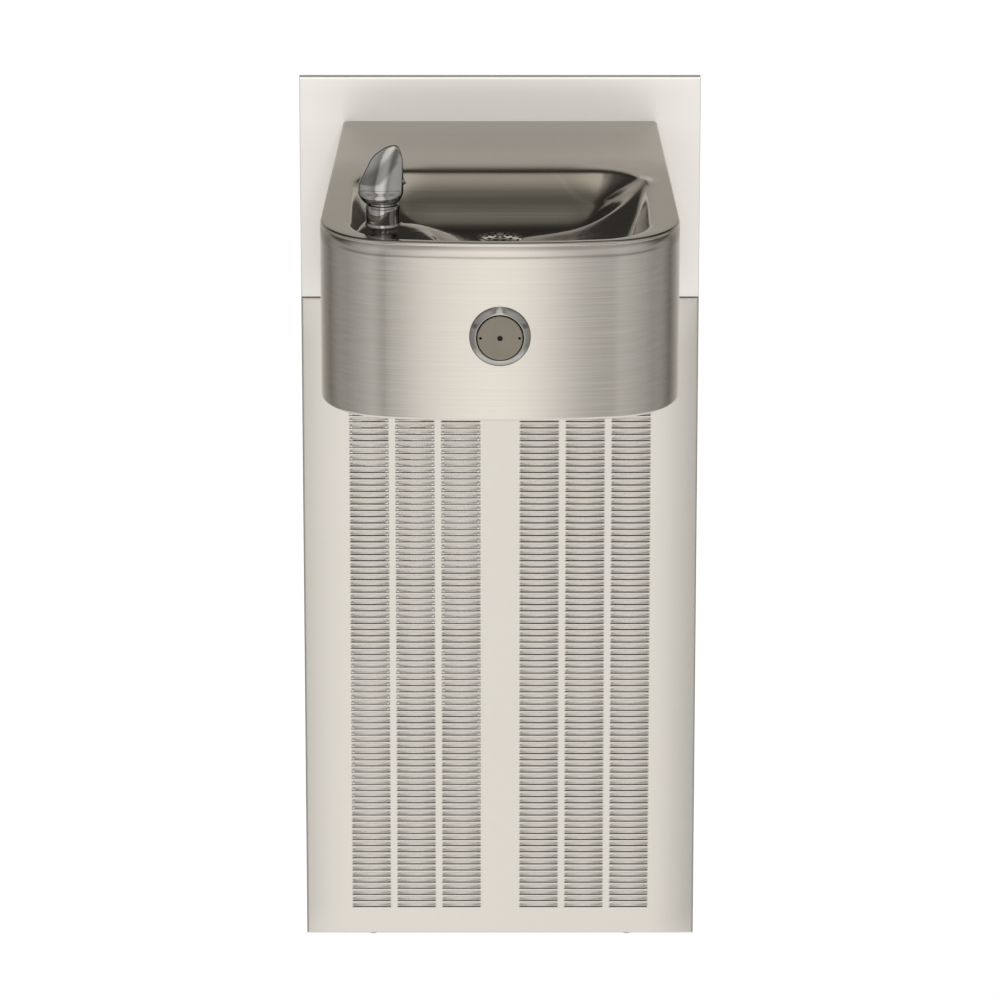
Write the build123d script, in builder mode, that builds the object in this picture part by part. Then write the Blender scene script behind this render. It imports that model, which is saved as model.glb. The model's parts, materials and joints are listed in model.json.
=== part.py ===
from build123d import *
import os
from math import cos, radians, sin, sqrt

# Wall-hung chilled drinking fountain with its chiller in a frame inside the wall.
# +Z is up, +X is the user's right, the user stands on the -Y side and looks along +Y.
# The origin is on the face of the finished wall, on the centre line, level with the
# bottom edge of the louvered panel. All dimensions are in millimetres.

# ---- Driving dimensions -------------------------------------------------------------
PANEL_WIDTH = 457.0  # 18 in. wide front panels
PANEL_TOP = 1049.0
PANEL_PROUD = 12.0  # the panels' front face stands this far out of the wall
SHEET = 1.5
BEND = 2.4  # outside radius of a folded sheet edge
SEAM = 787.0  # height of the joint between the two panels
SEAM_GAP = 1.0
FOLD_GAP = 0.01

LOUVER_LENGTH = 45.9
LOUVER_SLOT = 2.4
LOUVER_PITCH = 7.74
LOUVER_ROWS = 90
LOUVER_LOWEST = 35.7
LOUVER_COLUMN_PITCH = 53.1
LOUVER_GROUP_X = 98.6

BASIN_BACK_HALF = 178.0  # the basin widens slightly from the wall to the user
BASIN_FRONT_HALF = 197.0
BASIN_FRONT = -504.0
BASIN_BACK = -PANEL_PROUD
BASIN_BOW = 800.0
BASIN_FRONT_CORNER = 85.0
BASIN_BACK_CORNER = 6.0
DECK = 997.0
DECK_RIM = 6.0
DECK_EDGE = 3.5
APRON_BOTTOM = 798.5
APRON_FLANGE = 15.0

BOWL_HALF_WIDTH = 163.0
BOWL_BACK = -221.5
BOWL_FRONT = -492.5
BOWL_BACK_CORNER = 60.0
BOWL_FRONT_CORNER = 62.0
BOWL_DEPTH = 44.0
BOWL_WALL_RUN = 40.0

DRAIN_Y = -345.0
DRAIN_HOLE = 23.0
FLOOR = DECK - BOWL_DEPTH
FLOOR_UNDER = FLOOR - SHEET
WASTE_OD = 31.75
WASTE_WALL = 1.2
WASTE_Z = 884.0
WASTE_OUT_Z = 844.0
TRAP_Y = 104.0
TRAP_BEND = 35.0
TRAP_LOW = 744.0
WASTE_END_Y = 250.0

BUBBLER_X = -127.0
BUBBLER_Y = -424.0
PAD_RADIUS = 26.0
PAD_TOP = DECK - 2.0
SHANK_RADIUS = 8.0
SHANK_BOTTOM = DECK - 61.0

BUTTON_Z = 894.0
BEZEL_RADIUS = 33.3
BUTTON_RADIUS = 24.7
BUTTON_TRAVEL = 3.0
STEM_RADIUS = 4.0
STEM_FIT = 0.06
VALVE_RADIUS = 17.0
VALVE_BACK = BASIN_FRONT + 56.0

FRAME_HALF = 203.0
FRAME_SHEET = 2.0
FRAME_BOTTOM = 20.0
FRAME_TOP = 1016.0
FRAME_DEPTH = 90.0
FRAME_FLANGE = 25.0
RAIL_FRONT = 2.0
RAIL_DEPTH = 28.0
BASIN_RAIL_SHEET = 5.0
BASIN_RAIL_HEIGHT = 30.0
BOLT_X = 140.0
BOLT_ZS = (844.0, 974.0)
BOLT_RADIUS = 4.0

TRAY_Z = 40.0
TRAY_BACK = 245.0
SHELF_Z = 370.0
COMPRESSOR_X = -95.0
COMPRESSOR_Y = 135.0
FAN_X = 107.5
FAN_Z = 185.0
FAN_TIP = 68.0
DUCT_RADIUS = 75.0
TANK_X = 95.0
TANK_Y = 130.0
TANK_RADIUS = 85.0
TANK_HEIGHT = 258.0
TANK_TOP = SHELF_Z + FRAME_SHEET + TANK_HEIGHT
TUBE_OD = 9.525
TUBE_WALL = 0.9

os.makedirs("parts", exist_ok=True)


def save(piece, name):
    """Labels a finished sub-part and writes it as its own STEP file."""
    piece.part.label = name
    export_step(piece.part, f"parts/{name}.step")


def upright_plane(y):
    """A plane parallel to the wall at depth y, facing the user: local x is X, local y is Z."""
    return Plane.XZ.offset(-y)


def box_between(low, high, mode=Mode.ADD):
    """Adds or cuts a block given its lowest and highest corners."""
    size = [high[i] - low[i] for i in range(3)]
    centre = Vector(*low) + Vector(*size) / 2
    with Locations(centre):
        Box(*size, mode=mode)


def disc(x, z, radius, y_from, y_to, mode=Mode.ADD):
    """Adds or cuts a cylinder along Y between two depths."""
    with BuildSketch(upright_plane(y_from)) as profile:
        with Locations((x, z)):
            Circle(radius)
    extrude(profile.sketch, amount=y_from - y_to, mode=mode)


def post(x, y, radius, z_from, z_to, mode=Mode.ADD):
    """Adds or cuts a cylinder along Z between two heights."""
    with BuildSketch(Plane.XY.offset(z_from)) as profile:
        with Locations((x, y)):
            Circle(radius)
    extrude(profile.sketch, amount=z_to - z_from, mode=mode)


def hexagon(x, y, across_flats, z_from, z_to):
    """Adds a hexagonal nut or head along Z."""
    with BuildSketch(Plane.XY.offset(z_from)) as profile:
        with Locations((x, y)):
            RegularPolygon(across_flats / 2, 6, major_radius=False)
    extrude(profile.sketch, amount=z_to - z_from)


def hexagon_y(x, z, across_flats, y_from, y_to):
    """Adds a hexagonal nut or head along Y."""
    with BuildSketch(upright_plane(y_from)) as profile:
        with Locations((x, z)):
            RegularPolygon(across_flats / 2, 6, major_radius=False)
    extrude(profile.sketch, amount=y_from - y_to)


def bent_tube(points, bends, diameter, wall=0.0):
    """Adds a bent round tube, or a solid round if it has no wall."""
    with BuildLine() as route:
        FilletPolyline(*points, radius=bends)
    path = route.wire()
    with BuildSketch(Plane(origin=path @ 0, z_dir=path % 0)) as profile:
        Circle(diameter / 2)
        if wall:
            Circle(diameter / 2 - wall, mode=Mode.SUBTRACT)
    sweep(profile.sketch, path=path)


def bow_y(x, radius, front):
    """Depth of the bowed front at x, for an arc of this radius whose foremost point is front."""
    return front + radius - sqrt(radius**2 - x**2)


def folded_pan(z_from, z_to):
    """Adds a sheet panel with all four edges folded back to the wall."""
    middle = (z_from + z_to) / 2
    height = z_to - z_from
    with BuildSketch(Plane.XZ) as profile:
        with Locations((0, middle)):
            Rectangle(PANEL_WIDTH, height)
    extrude(profile.sketch, amount=PANEL_PROUD)


def hollow_pan(z_from, z_to):
    """Cuts the space behind a folded panel."""
    with BuildSketch(Plane.XZ) as profile:
        with Locations((0, (z_from + z_to) / 2)):
            Rectangle(PANEL_WIDTH - 2 * SHEET, z_to - z_from - 2 * SHEET)
    extrude(profile.sketch, amount=PANEL_PROUD - SHEET, mode=Mode.SUBTRACT)


# ---- Plan outlines of the basin and its bowl ------------------------------------------
with BuildSketch() as basin_plan:
    side_front = bow_y(BASIN_FRONT_HALF, BASIN_BOW, BASIN_FRONT)
    with BuildLine():
        Polyline(
            (BASIN_FRONT_HALF, side_front),
            (BASIN_BACK_HALF, BASIN_BACK),
            (-BASIN_BACK_HALF, BASIN_BACK),
            (-BASIN_FRONT_HALF, side_front),
        )
        ThreePointArc((-BASIN_FRONT_HALF, side_front), (0, BASIN_FRONT), (BASIN_FRONT_HALF, side_front))
    make_face()
    fillet(basin_plan.vertices().group_by(Axis.Y)[0], BASIN_FRONT_CORNER)
    fillet(basin_plan.vertices().group_by(Axis.Y)[-1], BASIN_BACK_CORNER)

with BuildSketch() as bowl_plan:
    bowl_bow = BASIN_BOW - (BOWL_FRONT - BASIN_FRONT)
    side_front = bow_y(BOWL_HALF_WIDTH, bowl_bow, BOWL_FRONT)
    with BuildLine():
        Polyline(
            (BOWL_HALF_WIDTH, side_front),
            (BOWL_HALF_WIDTH, BOWL_BACK),
            (-BOWL_HALF_WIDTH, BOWL_BACK),
            (-BOWL_HALF_WIDTH, side_front),
        )
        ThreePointArc((-BOWL_HALF_WIDTH, side_front), (0, BOWL_FRONT), (BOWL_HALF_WIDTH, side_front))
    make_face()
    fillet(bowl_plan.vertices().group_by(Axis.Y)[0], BOWL_FRONT_CORNER)
    fillet(bowl_plan.vertices().group_by(Axis.Y)[-1], BOWL_BACK_CORNER)


# ---- Front panels --------------------------------------------------------------------
OPENING_WIDTH = 220.0
OPENING_LOW = 860.0
OPENING_HIGH = 948.0


def plumbing_opening(y_from, y_to):
    """Cuts the pipe opening and the four basin bolt holes through a wall."""
    with BuildSketch(upright_plane(y_from)) as profile:
        with Locations((0, (OPENING_LOW + OPENING_HIGH) / 2)):
            RectangleRounded(OPENING_WIDTH, OPENING_HIGH - OPENING_LOW, 12)
        with Locations([(x, z) for x in (-BOLT_X, BOLT_X) for z in BOLT_ZS]):
            Circle(BOLT_RADIUS + 0.5)
    extrude(profile.sketch, amount=y_from - y_to, mode=Mode.SUBTRACT)


with BuildPart() as upper_back_plate:
    folded_pan(SEAM + SEAM_GAP, PANEL_TOP)
    fillet(upper_back_plate.faces().sort_by(Axis.Y)[0].edges(), BEND)
    hollow_pan(SEAM + SEAM_GAP, PANEL_TOP)
    plumbing_opening(-PANEL_PROUD + SHEET + 1, -PANEL_PROUD - 1)
save(upper_back_plate, "upper_back_plate")

SCREW_X = 150.0
PANEL_SCREW_Y = -6.0
with BuildPart() as louvered_access_panel:
    folded_pan(0, SEAM)
    fillet(louvered_access_panel.faces().sort_by(Axis.Y)[0].edges(), BEND)
    hollow_pan(0, SEAM)
    louver_middle = LOUVER_LOWEST + (LOUVER_ROWS - 1) * LOUVER_PITCH / 2
    with BuildSketch(upright_plane(-PANEL_PROUD + SHEET + 1)):
        with Locations((-LOUVER_GROUP_X, louver_middle), (LOUVER_GROUP_X, louver_middle)):
            with GridLocations(LOUVER_COLUMN_PITCH, LOUVER_PITCH, 3, LOUVER_ROWS):
                Rectangle(LOUVER_LENGTH, LOUVER_SLOT)
    extrude(amount=SHEET + 2, mode=Mode.SUBTRACT)
    for x in (-SCREW_X, SCREW_X):
        post(x, PANEL_SCREW_Y, 2.7, -1, SHEET + 1, mode=Mode.SUBTRACT)
save(louvered_access_panel, "louvered_access_panel")


# ---- Frame inside the wall --------------------------------------------------------------
STUD_HOLE_YS = (25.0, 65.0)
STUD_HOLE_ZS = (150.0, 900.0)
STUD_HOLE_RADIUS = 3.5


def upright(side):
    """Adds one L-section upright: a web against the stud and a flange along the front."""
    outer = side * FRAME_HALF
    web = sorted((outer, outer - side * FRAME_SHEET))
    flange = sorted((outer, outer - side * FRAME_FLANGE))
    box_between((web[0], 0, FRAME_BOTTOM), (web[1], FRAME_DEPTH, FRAME_TOP))
    box_between((flange[0], 0, FRAME_BOTTOM), (flange[1], FRAME_SHEET, FRAME_TOP))
    with BuildSketch(Plane.YZ.offset(web[0] - 1)) as profile:
        with Locations([(y, z) for y in STUD_HOLE_YS for z in STUD_HOLE_ZS]):
            Circle(STUD_HOLE_RADIUS)
    extrude(profile.sketch, amount=FRAME_SHEET + 2, mode=Mode.SUBTRACT)


with BuildPart() as frame_uprights:
    for upright_side in (-1, 1):
        upright(upright_side)
save(frame_uprights, "frame_uprights")

RAIL_HALF = FRAME_HALF - FRAME_SHEET


def channel_rail(z_from, z_to):
    """Adds a channel rail between the uprights, open to the back."""
    box_between((-RAIL_HALF, RAIL_FRONT, z_from), (RAIL_HALF, RAIL_FRONT + RAIL_DEPTH, z_to))
    box_between(
        (-RAIL_HALF - 1, RAIL_FRONT + FRAME_SHEET, z_from + FRAME_SHEET),
        (RAIL_HALF + 1, RAIL_FRONT + RAIL_DEPTH + 1, z_to - FRAME_SHEET),
        mode=Mode.SUBTRACT,
    )


TOP_RAIL_LOW = FRAME_TOP - 25.0
with BuildPart() as top_rail:
    channel_rail(TOP_RAIL_LOW, FRAME_TOP)
save(top_rail, "top_rail")

# The middle rail's lip carries the top fold of the louvered panel.
MIDDLE_RAIL = (742.0, 777.0)
LIP_TOP = SEAM - SHEET - FOLD_GAP
with BuildPart() as middle_rail:
    channel_rail(*MIDDLE_RAIL)
    box_between((-170, -PANEL_PROUD + SHEET + 1.5, LIP_TOP - 2), (170, RAIL_FRONT, LIP_TOP))
    box_between((-170, 0, MIDDLE_RAIL[0] + 5), (170, RAIL_FRONT, LIP_TOP))
save(middle_rail, "middle_rail")

with BuildPart() as basin_rails:
    for z in BOLT_ZS:
        low = z - BASIN_RAIL_HEIGHT / 2
        box_between(
            (-RAIL_HALF, RAIL_FRONT, low),
            (RAIL_HALF, RAIL_FRONT + BASIN_RAIL_SHEET, low + BASIN_RAIL_HEIGHT),
        )
    for x in (-BOLT_X, BOLT_X):
        for z in BOLT_ZS:
            disc(x, z, BOLT_RADIUS + 0.5, RAIL_FRONT - 1, RAIL_FRONT + BASIN_RAIL_SHEET + 1, Mode.SUBTRACT)
save(basin_rails, "basin_rails")

# Angle under the frame that takes the two screws through the panel's bottom fold.
BRACKET_HALF = 190.0
with BuildPart() as panel_bracket:
    box_between((-BRACKET_HALF, -2, SHEET + FOLD_GAP), (BRACKET_HALF, 0, 60))
    box_between((-BRACKET_HALF, -PANEL_PROUD + SHEET + 0.5, SHEET + FOLD_GAP), (BRACKET_HALF, 0, 5.5))
    for x in (-SCREW_X, SCREW_X):
        post(x, PANEL_SCREW_Y, 2.5, 0, 7, mode=Mode.SUBTRACT)
save(panel_bracket, "panel_bracket")

# Hex bolts that join each rail to the uprights' front flanges, heads inside the frame.
FRAME_BOLT_X = 190.0
RAIL_BOLT_ZS = ((TOP_RAIL_LOW + FRAME_TOP) / 2, sum(MIDDLE_RAIL) / 2, BOLT_ZS[0], BOLT_ZS[1])
with BuildPart() as frame_screws:
    for z in RAIL_BOLT_ZS:
        back = RAIL_FRONT + (BASIN_RAIL_SHEET if z in BOLT_ZS else FRAME_SHEET)
        for x in (-FRAME_BOLT_X, FRAME_BOLT_X):
            hexagon_y(x, z, 10, back, back + 4)
save(frame_screws, "frame_screws")

# Tray with triangular cheeks that bolt inside the uprights' webs.
CHEEK = 1.5
with BuildPart() as chiller_tray:
    box_between((-RAIL_HALF, RAIL_FRONT, TRAY_Z), (RAIL_HALF, TRAY_BACK, TRAY_Z + FRAME_SHEET))
    for x in (-RAIL_HALF, RAIL_HALF - CHEEK):
        with BuildSketch(Plane.YZ.offset(x)):
            with BuildLine():
                Polyline(
                    (RAIL_FRONT, TRAY_Z),
                    (TRAY_BACK, TRAY_Z),
                    (TRAY_BACK, TRAY_Z + 18),
                    (60, TRAY_Z + 120),
                    (RAIL_FRONT, TRAY_Z + 120),
                    close=True,
                )
            make_face()
        extrude(amount=CHEEK)
    box_between((-RAIL_HALF, TRAY_BACK - CHEEK, TRAY_Z), (RAIL_HALF, TRAY_BACK, TRAY_Z + 18))
    box_between((-RAIL_HALF, RAIL_FRONT, TRAY_Z), (RAIL_HALF, RAIL_FRONT + CHEEK, TRAY_Z + 18))
save(chiller_tray, "chiller_tray")


# ---- Basin -------------------------------------------------------------------------------
with BuildPart() as basin_top:
    with BuildSketch(Plane.XY.offset(DECK - DECK_RIM)):
        add(basin_plan.sketch)
    extrude(amount=DECK_RIM)
    fillet(basin_top.faces().sort_by(Axis.Z)[-1].edges(), DECK_EDGE)
    with BuildSketch(Plane.XY.offset(DECK - DECK_RIM)):
        offset(basin_plan.sketch, -SHEET)
    extrude(amount=DECK_RIM - 2 * SHEET, mode=Mode.SUBTRACT)
    with BuildSketch(Plane.XY.offset(DECK - 2 * SHEET)):
        offset(bowl_plan.sketch, SHEET)
    with BuildSketch(Plane.XY.offset(FLOOR_UNDER)):
        offset(bowl_plan.sketch, SHEET - BOWL_WALL_RUN)
    loft(ruled=True)
    with BuildSketch(Plane.XY.offset(DECK)):
        add(bowl_plan.sketch)
    with BuildSketch(Plane.XY.offset(FLOOR)):
        offset(bowl_plan.sketch, -BOWL_WALL_RUN)
    loft(ruled=True, mode=Mode.SUBTRACT)
    post(BUBBLER_X, BUBBLER_Y, PAD_RADIUS, FLOOR - 1, PAD_TOP)
    post(BUBBLER_X, BUBBLER_Y, PAD_RADIUS - SHEET, FLOOR_UNDER - 2, PAD_TOP - SHEET, mode=Mode.SUBTRACT)
    post(BUBBLER_X, BUBBLER_Y, SHANK_RADIUS + 0.5, PAD_TOP - SHEET - 1, PAD_TOP + 1, mode=Mode.SUBTRACT)
    post(0, DRAIN_Y, DRAIN_HOLE, FLOOR_UNDER - 1, FLOOR + 1, mode=Mode.SUBTRACT)
save(basin_top, "basin_top")

BUTTON_HOLE = 16.0
BACK_RETURN = BASIN_BACK_HALF - BASIN_BACK_CORNER - 1.0
with BuildPart() as apron:
    with BuildSketch(Plane.XY.offset(APRON_BOTTOM)):
        add(basin_plan.sketch)
        offset(basin_plan.sketch, -SHEET, mode=Mode.SUBTRACT)
    extrude(amount=DECK - DECK_RIM - APRON_BOTTOM)
    box_between(
        (-BACK_RETURN, BASIN_BACK - SHEET - 1, APRON_BOTTOM - 1),
        (BACK_RETURN, BASIN_BACK + 1, DECK),
        mode=Mode.SUBTRACT,
    )
    disc(0, BUTTON_Z, BUTTON_HOLE, BASIN_FRONT - 2, BASIN_FRONT + 4, mode=Mode.SUBTRACT)
save(apron, "apron")

# Flat frame welded inside the apron's lower edge; the bottom cover is screwed to it.
COVER_SCREWS = [(-174.0, -110.0), (174.0, -110.0), (-184.0, -370.0), (184.0, -370.0)]
with BuildPart() as apron_flange:
    with BuildSketch(Plane.XY.offset(APRON_BOTTOM)):
        offset(basin_plan.sketch, -SHEET - FOLD_GAP)
        offset(basin_plan.sketch, -SHEET - APRON_FLANGE, kind=Kind.INTERSECTION, mode=Mode.SUBTRACT)
    extrude(amount=SHEET)
    for x, y in COVER_SCREWS:
        post(x, y, 2.7, APRON_BOTTOM - 1, APRON_BOTTOM + SHEET + 1, mode=Mode.SUBTRACT)
save(apron_flange, "apron_flange")

COVER_BOTTOM = APRON_BOTTOM + SHEET + FOLD_GAP
COVER_SHEET = 3.0
with BuildPart() as bottom_cover_plate:
    with BuildSketch(Plane.XY.offset(COVER_BOTTOM)):
        offset(basin_plan.sketch, -SHEET - 5.5)
    extrude(amount=COVER_SHEET)
    for x, y in COVER_SCREWS:
        post(x, y, 2.5, COVER_BOTTOM - 1, COVER_BOTTOM + COVER_SHEET + 1, mode=Mode.SUBTRACT)
save(bottom_cover_plate, "bottom_cover_plate")

with BuildPart() as cover_screws:
    for x, y in COVER_SCREWS:
        post(x, y, 4.5, APRON_BOTTOM - 2, APRON_BOTTOM)
        post(x, y, 2.45, APRON_BOTTOM, COVER_BOTTOM + COVER_SHEET)
    for x in (-SCREW_X, SCREW_X):
        post(x, PANEL_SCREW_Y, 4.5, -0.8, 0)
        post(x, PANEL_SCREW_Y, 2.45, 0, 5.5)
save(cover_screws, "cover_screws")

BACKING = 3.0
BACKING_FRONT = BASIN_BACK - BACKING
BACKING_Z = (APRON_BOTTOM + 5.5, DECK - 10.0)
with BuildPart() as basin_backing_plate:
    box_between(
        (-BACK_RETURN + 0.1, BACKING_FRONT, BACKING_Z[0]),
        (BACK_RETURN - 0.1, BASIN_BACK, BACKING_Z[1]),
    )
    plumbing_opening(BASIN_BACK + 1, BACKING_FRONT - 1)
save(basin_backing_plate, "basin_backing_plate")

NUT_BACK = RAIL_FRONT + BASIN_RAIL_SHEET + 6.5
with BuildPart() as basin_bolts:
    for x in (-BOLT_X, BOLT_X):
        for z in BOLT_ZS:
            hexagon_y(x, z, 13, BACKING_FRONT - 5.3, BACKING_FRONT)
            disc(x, z, BOLT_RADIUS, BACKING_FRONT, NUT_BACK + 3)
save(basin_bolts, "basin_bolts")

with BuildPart() as basin_spacers:
    for x in (-BOLT_X, BOLT_X):
        for z in BOLT_ZS:
            disc(x, z, 9, -PANEL_PROUD + SHEET, RAIL_FRONT)
            disc(x, z, BOLT_RADIUS + 0.5, -PANEL_PROUD + SHEET - 1, RAIL_FRONT + 1, mode=Mode.SUBTRACT)
save(basin_spacers, "basin_spacers")

with BuildPart() as basin_nuts:
    for x in (-BOLT_X, BOLT_X):
        for z in BOLT_ZS:
            hexagon_y(x, z, 13, RAIL_FRONT + BASIN_RAIL_SHEET, NUT_BACK)
            disc(x, z, BOLT_RADIUS + 0.02, RAIL_FRONT, NUT_BACK + 1, mode=Mode.SUBTRACT)
save(basin_nuts, "basin_nuts")


# ---- Waste ---------------------------------------------------------------------------------
DRAIN_FLANGE = 31.0
DRAIN_TOP = FLOOR + 2.0
DRAIN_BARREL = 22.4
DRAIN_LOW = FLOOR - 30.0
STRAINER_RIM = 28.0
with BuildPart() as drain_body:
    post(0, DRAIN_Y, DRAIN_FLANGE, FLOOR, DRAIN_TOP)
    post(0, DRAIN_Y, DRAIN_BARREL, DRAIN_LOW, FLOOR)
    post(0, DRAIN_Y, 18, DRAIN_LOW - 1, DRAIN_TOP + 1, mode=Mode.SUBTRACT)
    box_between((-19, DRAIN_Y - 3, FLOOR - 10), (19, DRAIN_Y + 3, FLOOR - 6))
    post(0, DRAIN_Y, 1.8, FLOOR - 12, FLOOR - 4, mode=Mode.SUBTRACT)
save(drain_body, "drain_body")

# Domed perforated strainer: a spherical cap with rings of slots and a centre screw.
DOME_RISE = 4.0
DOME_RADIUS = (STRAINER_RIM**2 + DOME_RISE**2) / (2 * DOME_RISE)
with BuildPart() as strainer:
    with BuildSketch(Plane(origin=(0, DRAIN_Y, DRAIN_TOP), x_dir=(1, 0, 0), z_dir=(0, -1, 0))):
        with BuildLine():
            top_mid = (STRAINER_RIM * 0.52, DOME_RISE + 1.2 - 0.27 * DOME_RISE)
            low_mid = (STRAINER_RIM * 0.52, DOME_RISE - 0.27 * DOME_RISE)
            Line((0, DOME_RISE), (0, DOME_RISE + 1.2))
            ThreePointArc((0, DOME_RISE + 1.2), top_mid, (STRAINER_RIM, 1.2))
            Line((STRAINER_RIM, 1.2), (STRAINER_RIM, 0))
            ThreePointArc((STRAINER_RIM, 0), low_mid, (0, DOME_RISE))
        make_face()
    revolve(axis=Axis((0, DRAIN_Y, 0), (0, 0, 1)))
    with BuildSketch(Plane.XY.offset(DRAIN_TOP - 1)):
        with Locations((0, DRAIN_Y)):
            for radius, count in ((21.5, 14), (14.5, 10), (8.0, 6)):
                with PolarLocations(radius, count):
                    SlotOverall(5.5, 3.2, rotation=90)
            Circle(2.2)
    extrude(amount=DOME_RISE + 4, mode=Mode.SUBTRACT)
save(strainer, "strainer")

HEAD_LOW = DRAIN_TOP + DOME_RISE + 1.21
HEAD_TOP = HEAD_LOW + 1.8
with BuildPart() as strainer_screw:
    post(0, DRAIN_Y, 1.75, FLOOR - 12, HEAD_LOW)
    post(0, DRAIN_Y, 4.2, HEAD_LOW, HEAD_TOP)
    box_between(
        (-4.5, DRAIN_Y - 0.6, HEAD_TOP - 0.8),
        (4.5, DRAIN_Y + 0.6, HEAD_TOP + 1),
        mode=Mode.SUBTRACT,
    )
save(strainer_screw, "strainer_screw")

with BuildPart() as drain_gasket:
    post(0, DRAIN_Y, 34, FLOOR_UNDER - 3, FLOOR_UNDER)
    post(0, DRAIN_Y, DRAIN_BARREL + 0.1, FLOOR_UNDER - 4, FLOOR_UNDER + 1, mode=Mode.SUBTRACT)
save(drain_gasket, "drain_gasket")

with BuildPart() as drain_locknut:
    hexagon(0, DRAIN_Y, 60, FLOOR_UNDER - 11, FLOOR_UNDER - 3)
    post(0, DRAIN_Y, DRAIN_BARREL + 0.1, FLOOR_UNDER - 12, FLOOR_UNDER - 2, mode=Mode.SUBTRACT)
save(drain_locknut, "drain_locknut")

WASTE_R = WASTE_OD / 2
NUT_Y = TRAP_Y - 56.0
with BuildPart() as drain_tailpiece:
    bent_tube(
        [(0, DRAIN_Y, DRAIN_LOW + 14), (0, DRAIN_Y, WASTE_Z), (0, NUT_Y, WASTE_Z)],
        30.0,
        WASTE_OD,
        WASTE_WALL,
    )
save(drain_tailpiece, "drain_tailpiece")

TRAP_RISE_Y = TRAP_Y + 2 * TRAP_BEND + 10
with BuildPart() as trap_bend:
    bent_tube(
        [
            (0, NUT_Y + 1, WASTE_Z),
            (0, TRAP_Y, WASTE_Z),
            (0, TRAP_Y, TRAP_LOW),
            (0, TRAP_RISE_Y, TRAP_LOW),
            (0, TRAP_RISE_Y, WASTE_OUT_Z - 45),
        ],
        TRAP_BEND,
        WASTE_OD,
        WASTE_WALL,
    )
save(trap_bend, "trap_bend")

with BuildPart() as waste_arm:
    bent_tube(
        [
            (0, TRAP_RISE_Y, WASTE_OUT_Z - 44),
            (0, TRAP_RISE_Y, WASTE_OUT_Z),
            (0, WASTE_END_Y, WASTE_OUT_Z),
        ],
        28.0,
        WASTE_OD,
        WASTE_WALL,
    )
save(waste_arm, "waste_arm")

SLIP_BORE = WASTE_R + 0.15
with BuildPart() as slip_nuts:
    hexagon(0, DRAIN_Y, 50, DRAIN_LOW - 9, DRAIN_LOW - 0.2)
    hexagon_y(0, WASTE_Z, 42, NUT_Y - 10, NUT_Y + 11)
    hexagon(0, TRAP_RISE_Y, 42, WASTE_OUT_Z - 55, WASTE_OUT_Z - 35)
    post(0, DRAIN_Y, SLIP_BORE, DRAIN_LOW - 10, DRAIN_LOW + 1, mode=Mode.SUBTRACT)
    disc(0, WASTE_Z, SLIP_BORE, NUT_Y - 11, NUT_Y + 12, mode=Mode.SUBTRACT)
    post(0, TRAP_RISE_Y, SLIP_BORE, WASTE_OUT_Z - 56, WASTE_OUT_Z - 34, mode=Mode.SUBTRACT)
save(slip_nuts, "slip_nuts")


# ---- Bubbler --------------------------------------------------------------------------------
BASE_RADIUS = 19.5
BASE_TOP = PAD_TOP + 24.4
SHANK_BORE = 5.2
HOOD_LOW = BASE_TOP + 2.8
with BuildPart() as bubbler_base:
    post(BUBBLER_X, BUBBLER_Y, BASE_RADIUS, PAD_TOP, BASE_TOP)
    chamfer(bubbler_base.faces().sort_by(Axis.Z)[0].edges(), 2)
    fillet(bubbler_base.faces().sort_by(Axis.Z)[-1].edges(), 2)
    post(BUBBLER_X, BUBBLER_Y, 15.5, BASE_TOP - 1, HOOD_LOW)
    post(BUBBLER_X, BUBBLER_Y, SHANK_RADIUS, SHANK_BOTTOM, PAD_TOP + 1)
    post(BUBBLER_X, BUBBLER_Y, SHANK_BORE, SHANK_BOTTOM - 1, BASE_TOP + 5, mode=Mode.SUBTRACT)
save(bubbler_base, "bubbler_base")

# The hood: a rounded column that leans over into a beak above the outlet on its right.
MOUTH_X = BUBBLER_X + 13.0
MOUTH_Z = HOOD_LOW + 18.0
HOOD_SECTIONS = [  # height above the hood's foot, lean to the right, half width, half depth
    (0.0, -1.5, 19.5, 17.0),
    (9.5, -2.1, 24.8, 19.5),
    (21.0, -1.5, 24.3, 19.5),
    (33.0, 1.3, 21.4, 18.0),
    (46.5, 4.4, 17.8, 15.0),
    (57.0, 8.6, 10.8, 10.0),
    (62.7, 12.6, 3.5, 3.5),
]
with BuildPart() as bubbler_head:
    for height, lean, half_width, half_depth in HOOD_SECTIONS:
        with BuildSketch(Plane.XY.offset(HOOD_LOW + height)):
            with Locations((BUBBLER_X + lean, BUBBLER_Y)):
                Ellipse(half_width, half_depth)
    loft()
    mouth = Plane(origin=(MOUTH_X, BUBBLER_Y, MOUTH_Z), z_dir=(cos(radians(35)), 0, sin(radians(35))))
    with BuildSketch(mouth):
        Circle(7.5)
    extrude(amount=40, mode=Mode.SUBTRACT)
    with BuildSketch(mouth.offset(-16)):
        Circle(2.2)
    extrude(amount=18, mode=Mode.SUBTRACT)
    post(BUBBLER_X, BUBBLER_Y, SHANK_BORE, HOOD_LOW - 1, MOUTH_Z, mode=Mode.SUBTRACT)
save(bubbler_head, "bubbler_head")

with BuildPart() as bubbler_nozzle:
    with BuildSketch(mouth):
        Circle(5.5)
        Circle(2.2, mode=Mode.SUBTRACT)
    extrude(amount=12)
    fillet(bubbler_nozzle.edges().sort_by(Axis.X)[-1], 1)
save(bubbler_nozzle, "bubbler_nozzle")

with BuildPart() as bubbler_gasket:
    post(BUBBLER_X, BUBBLER_Y, 16, PAD_TOP - SHEET - 2, PAD_TOP - SHEET)
    post(BUBBLER_X, BUBBLER_Y, SHANK_RADIUS + 0.1, PAD_TOP - SHEET - 3, PAD_TOP, mode=Mode.SUBTRACT)
save(bubbler_gasket, "bubbler_gasket")

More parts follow.
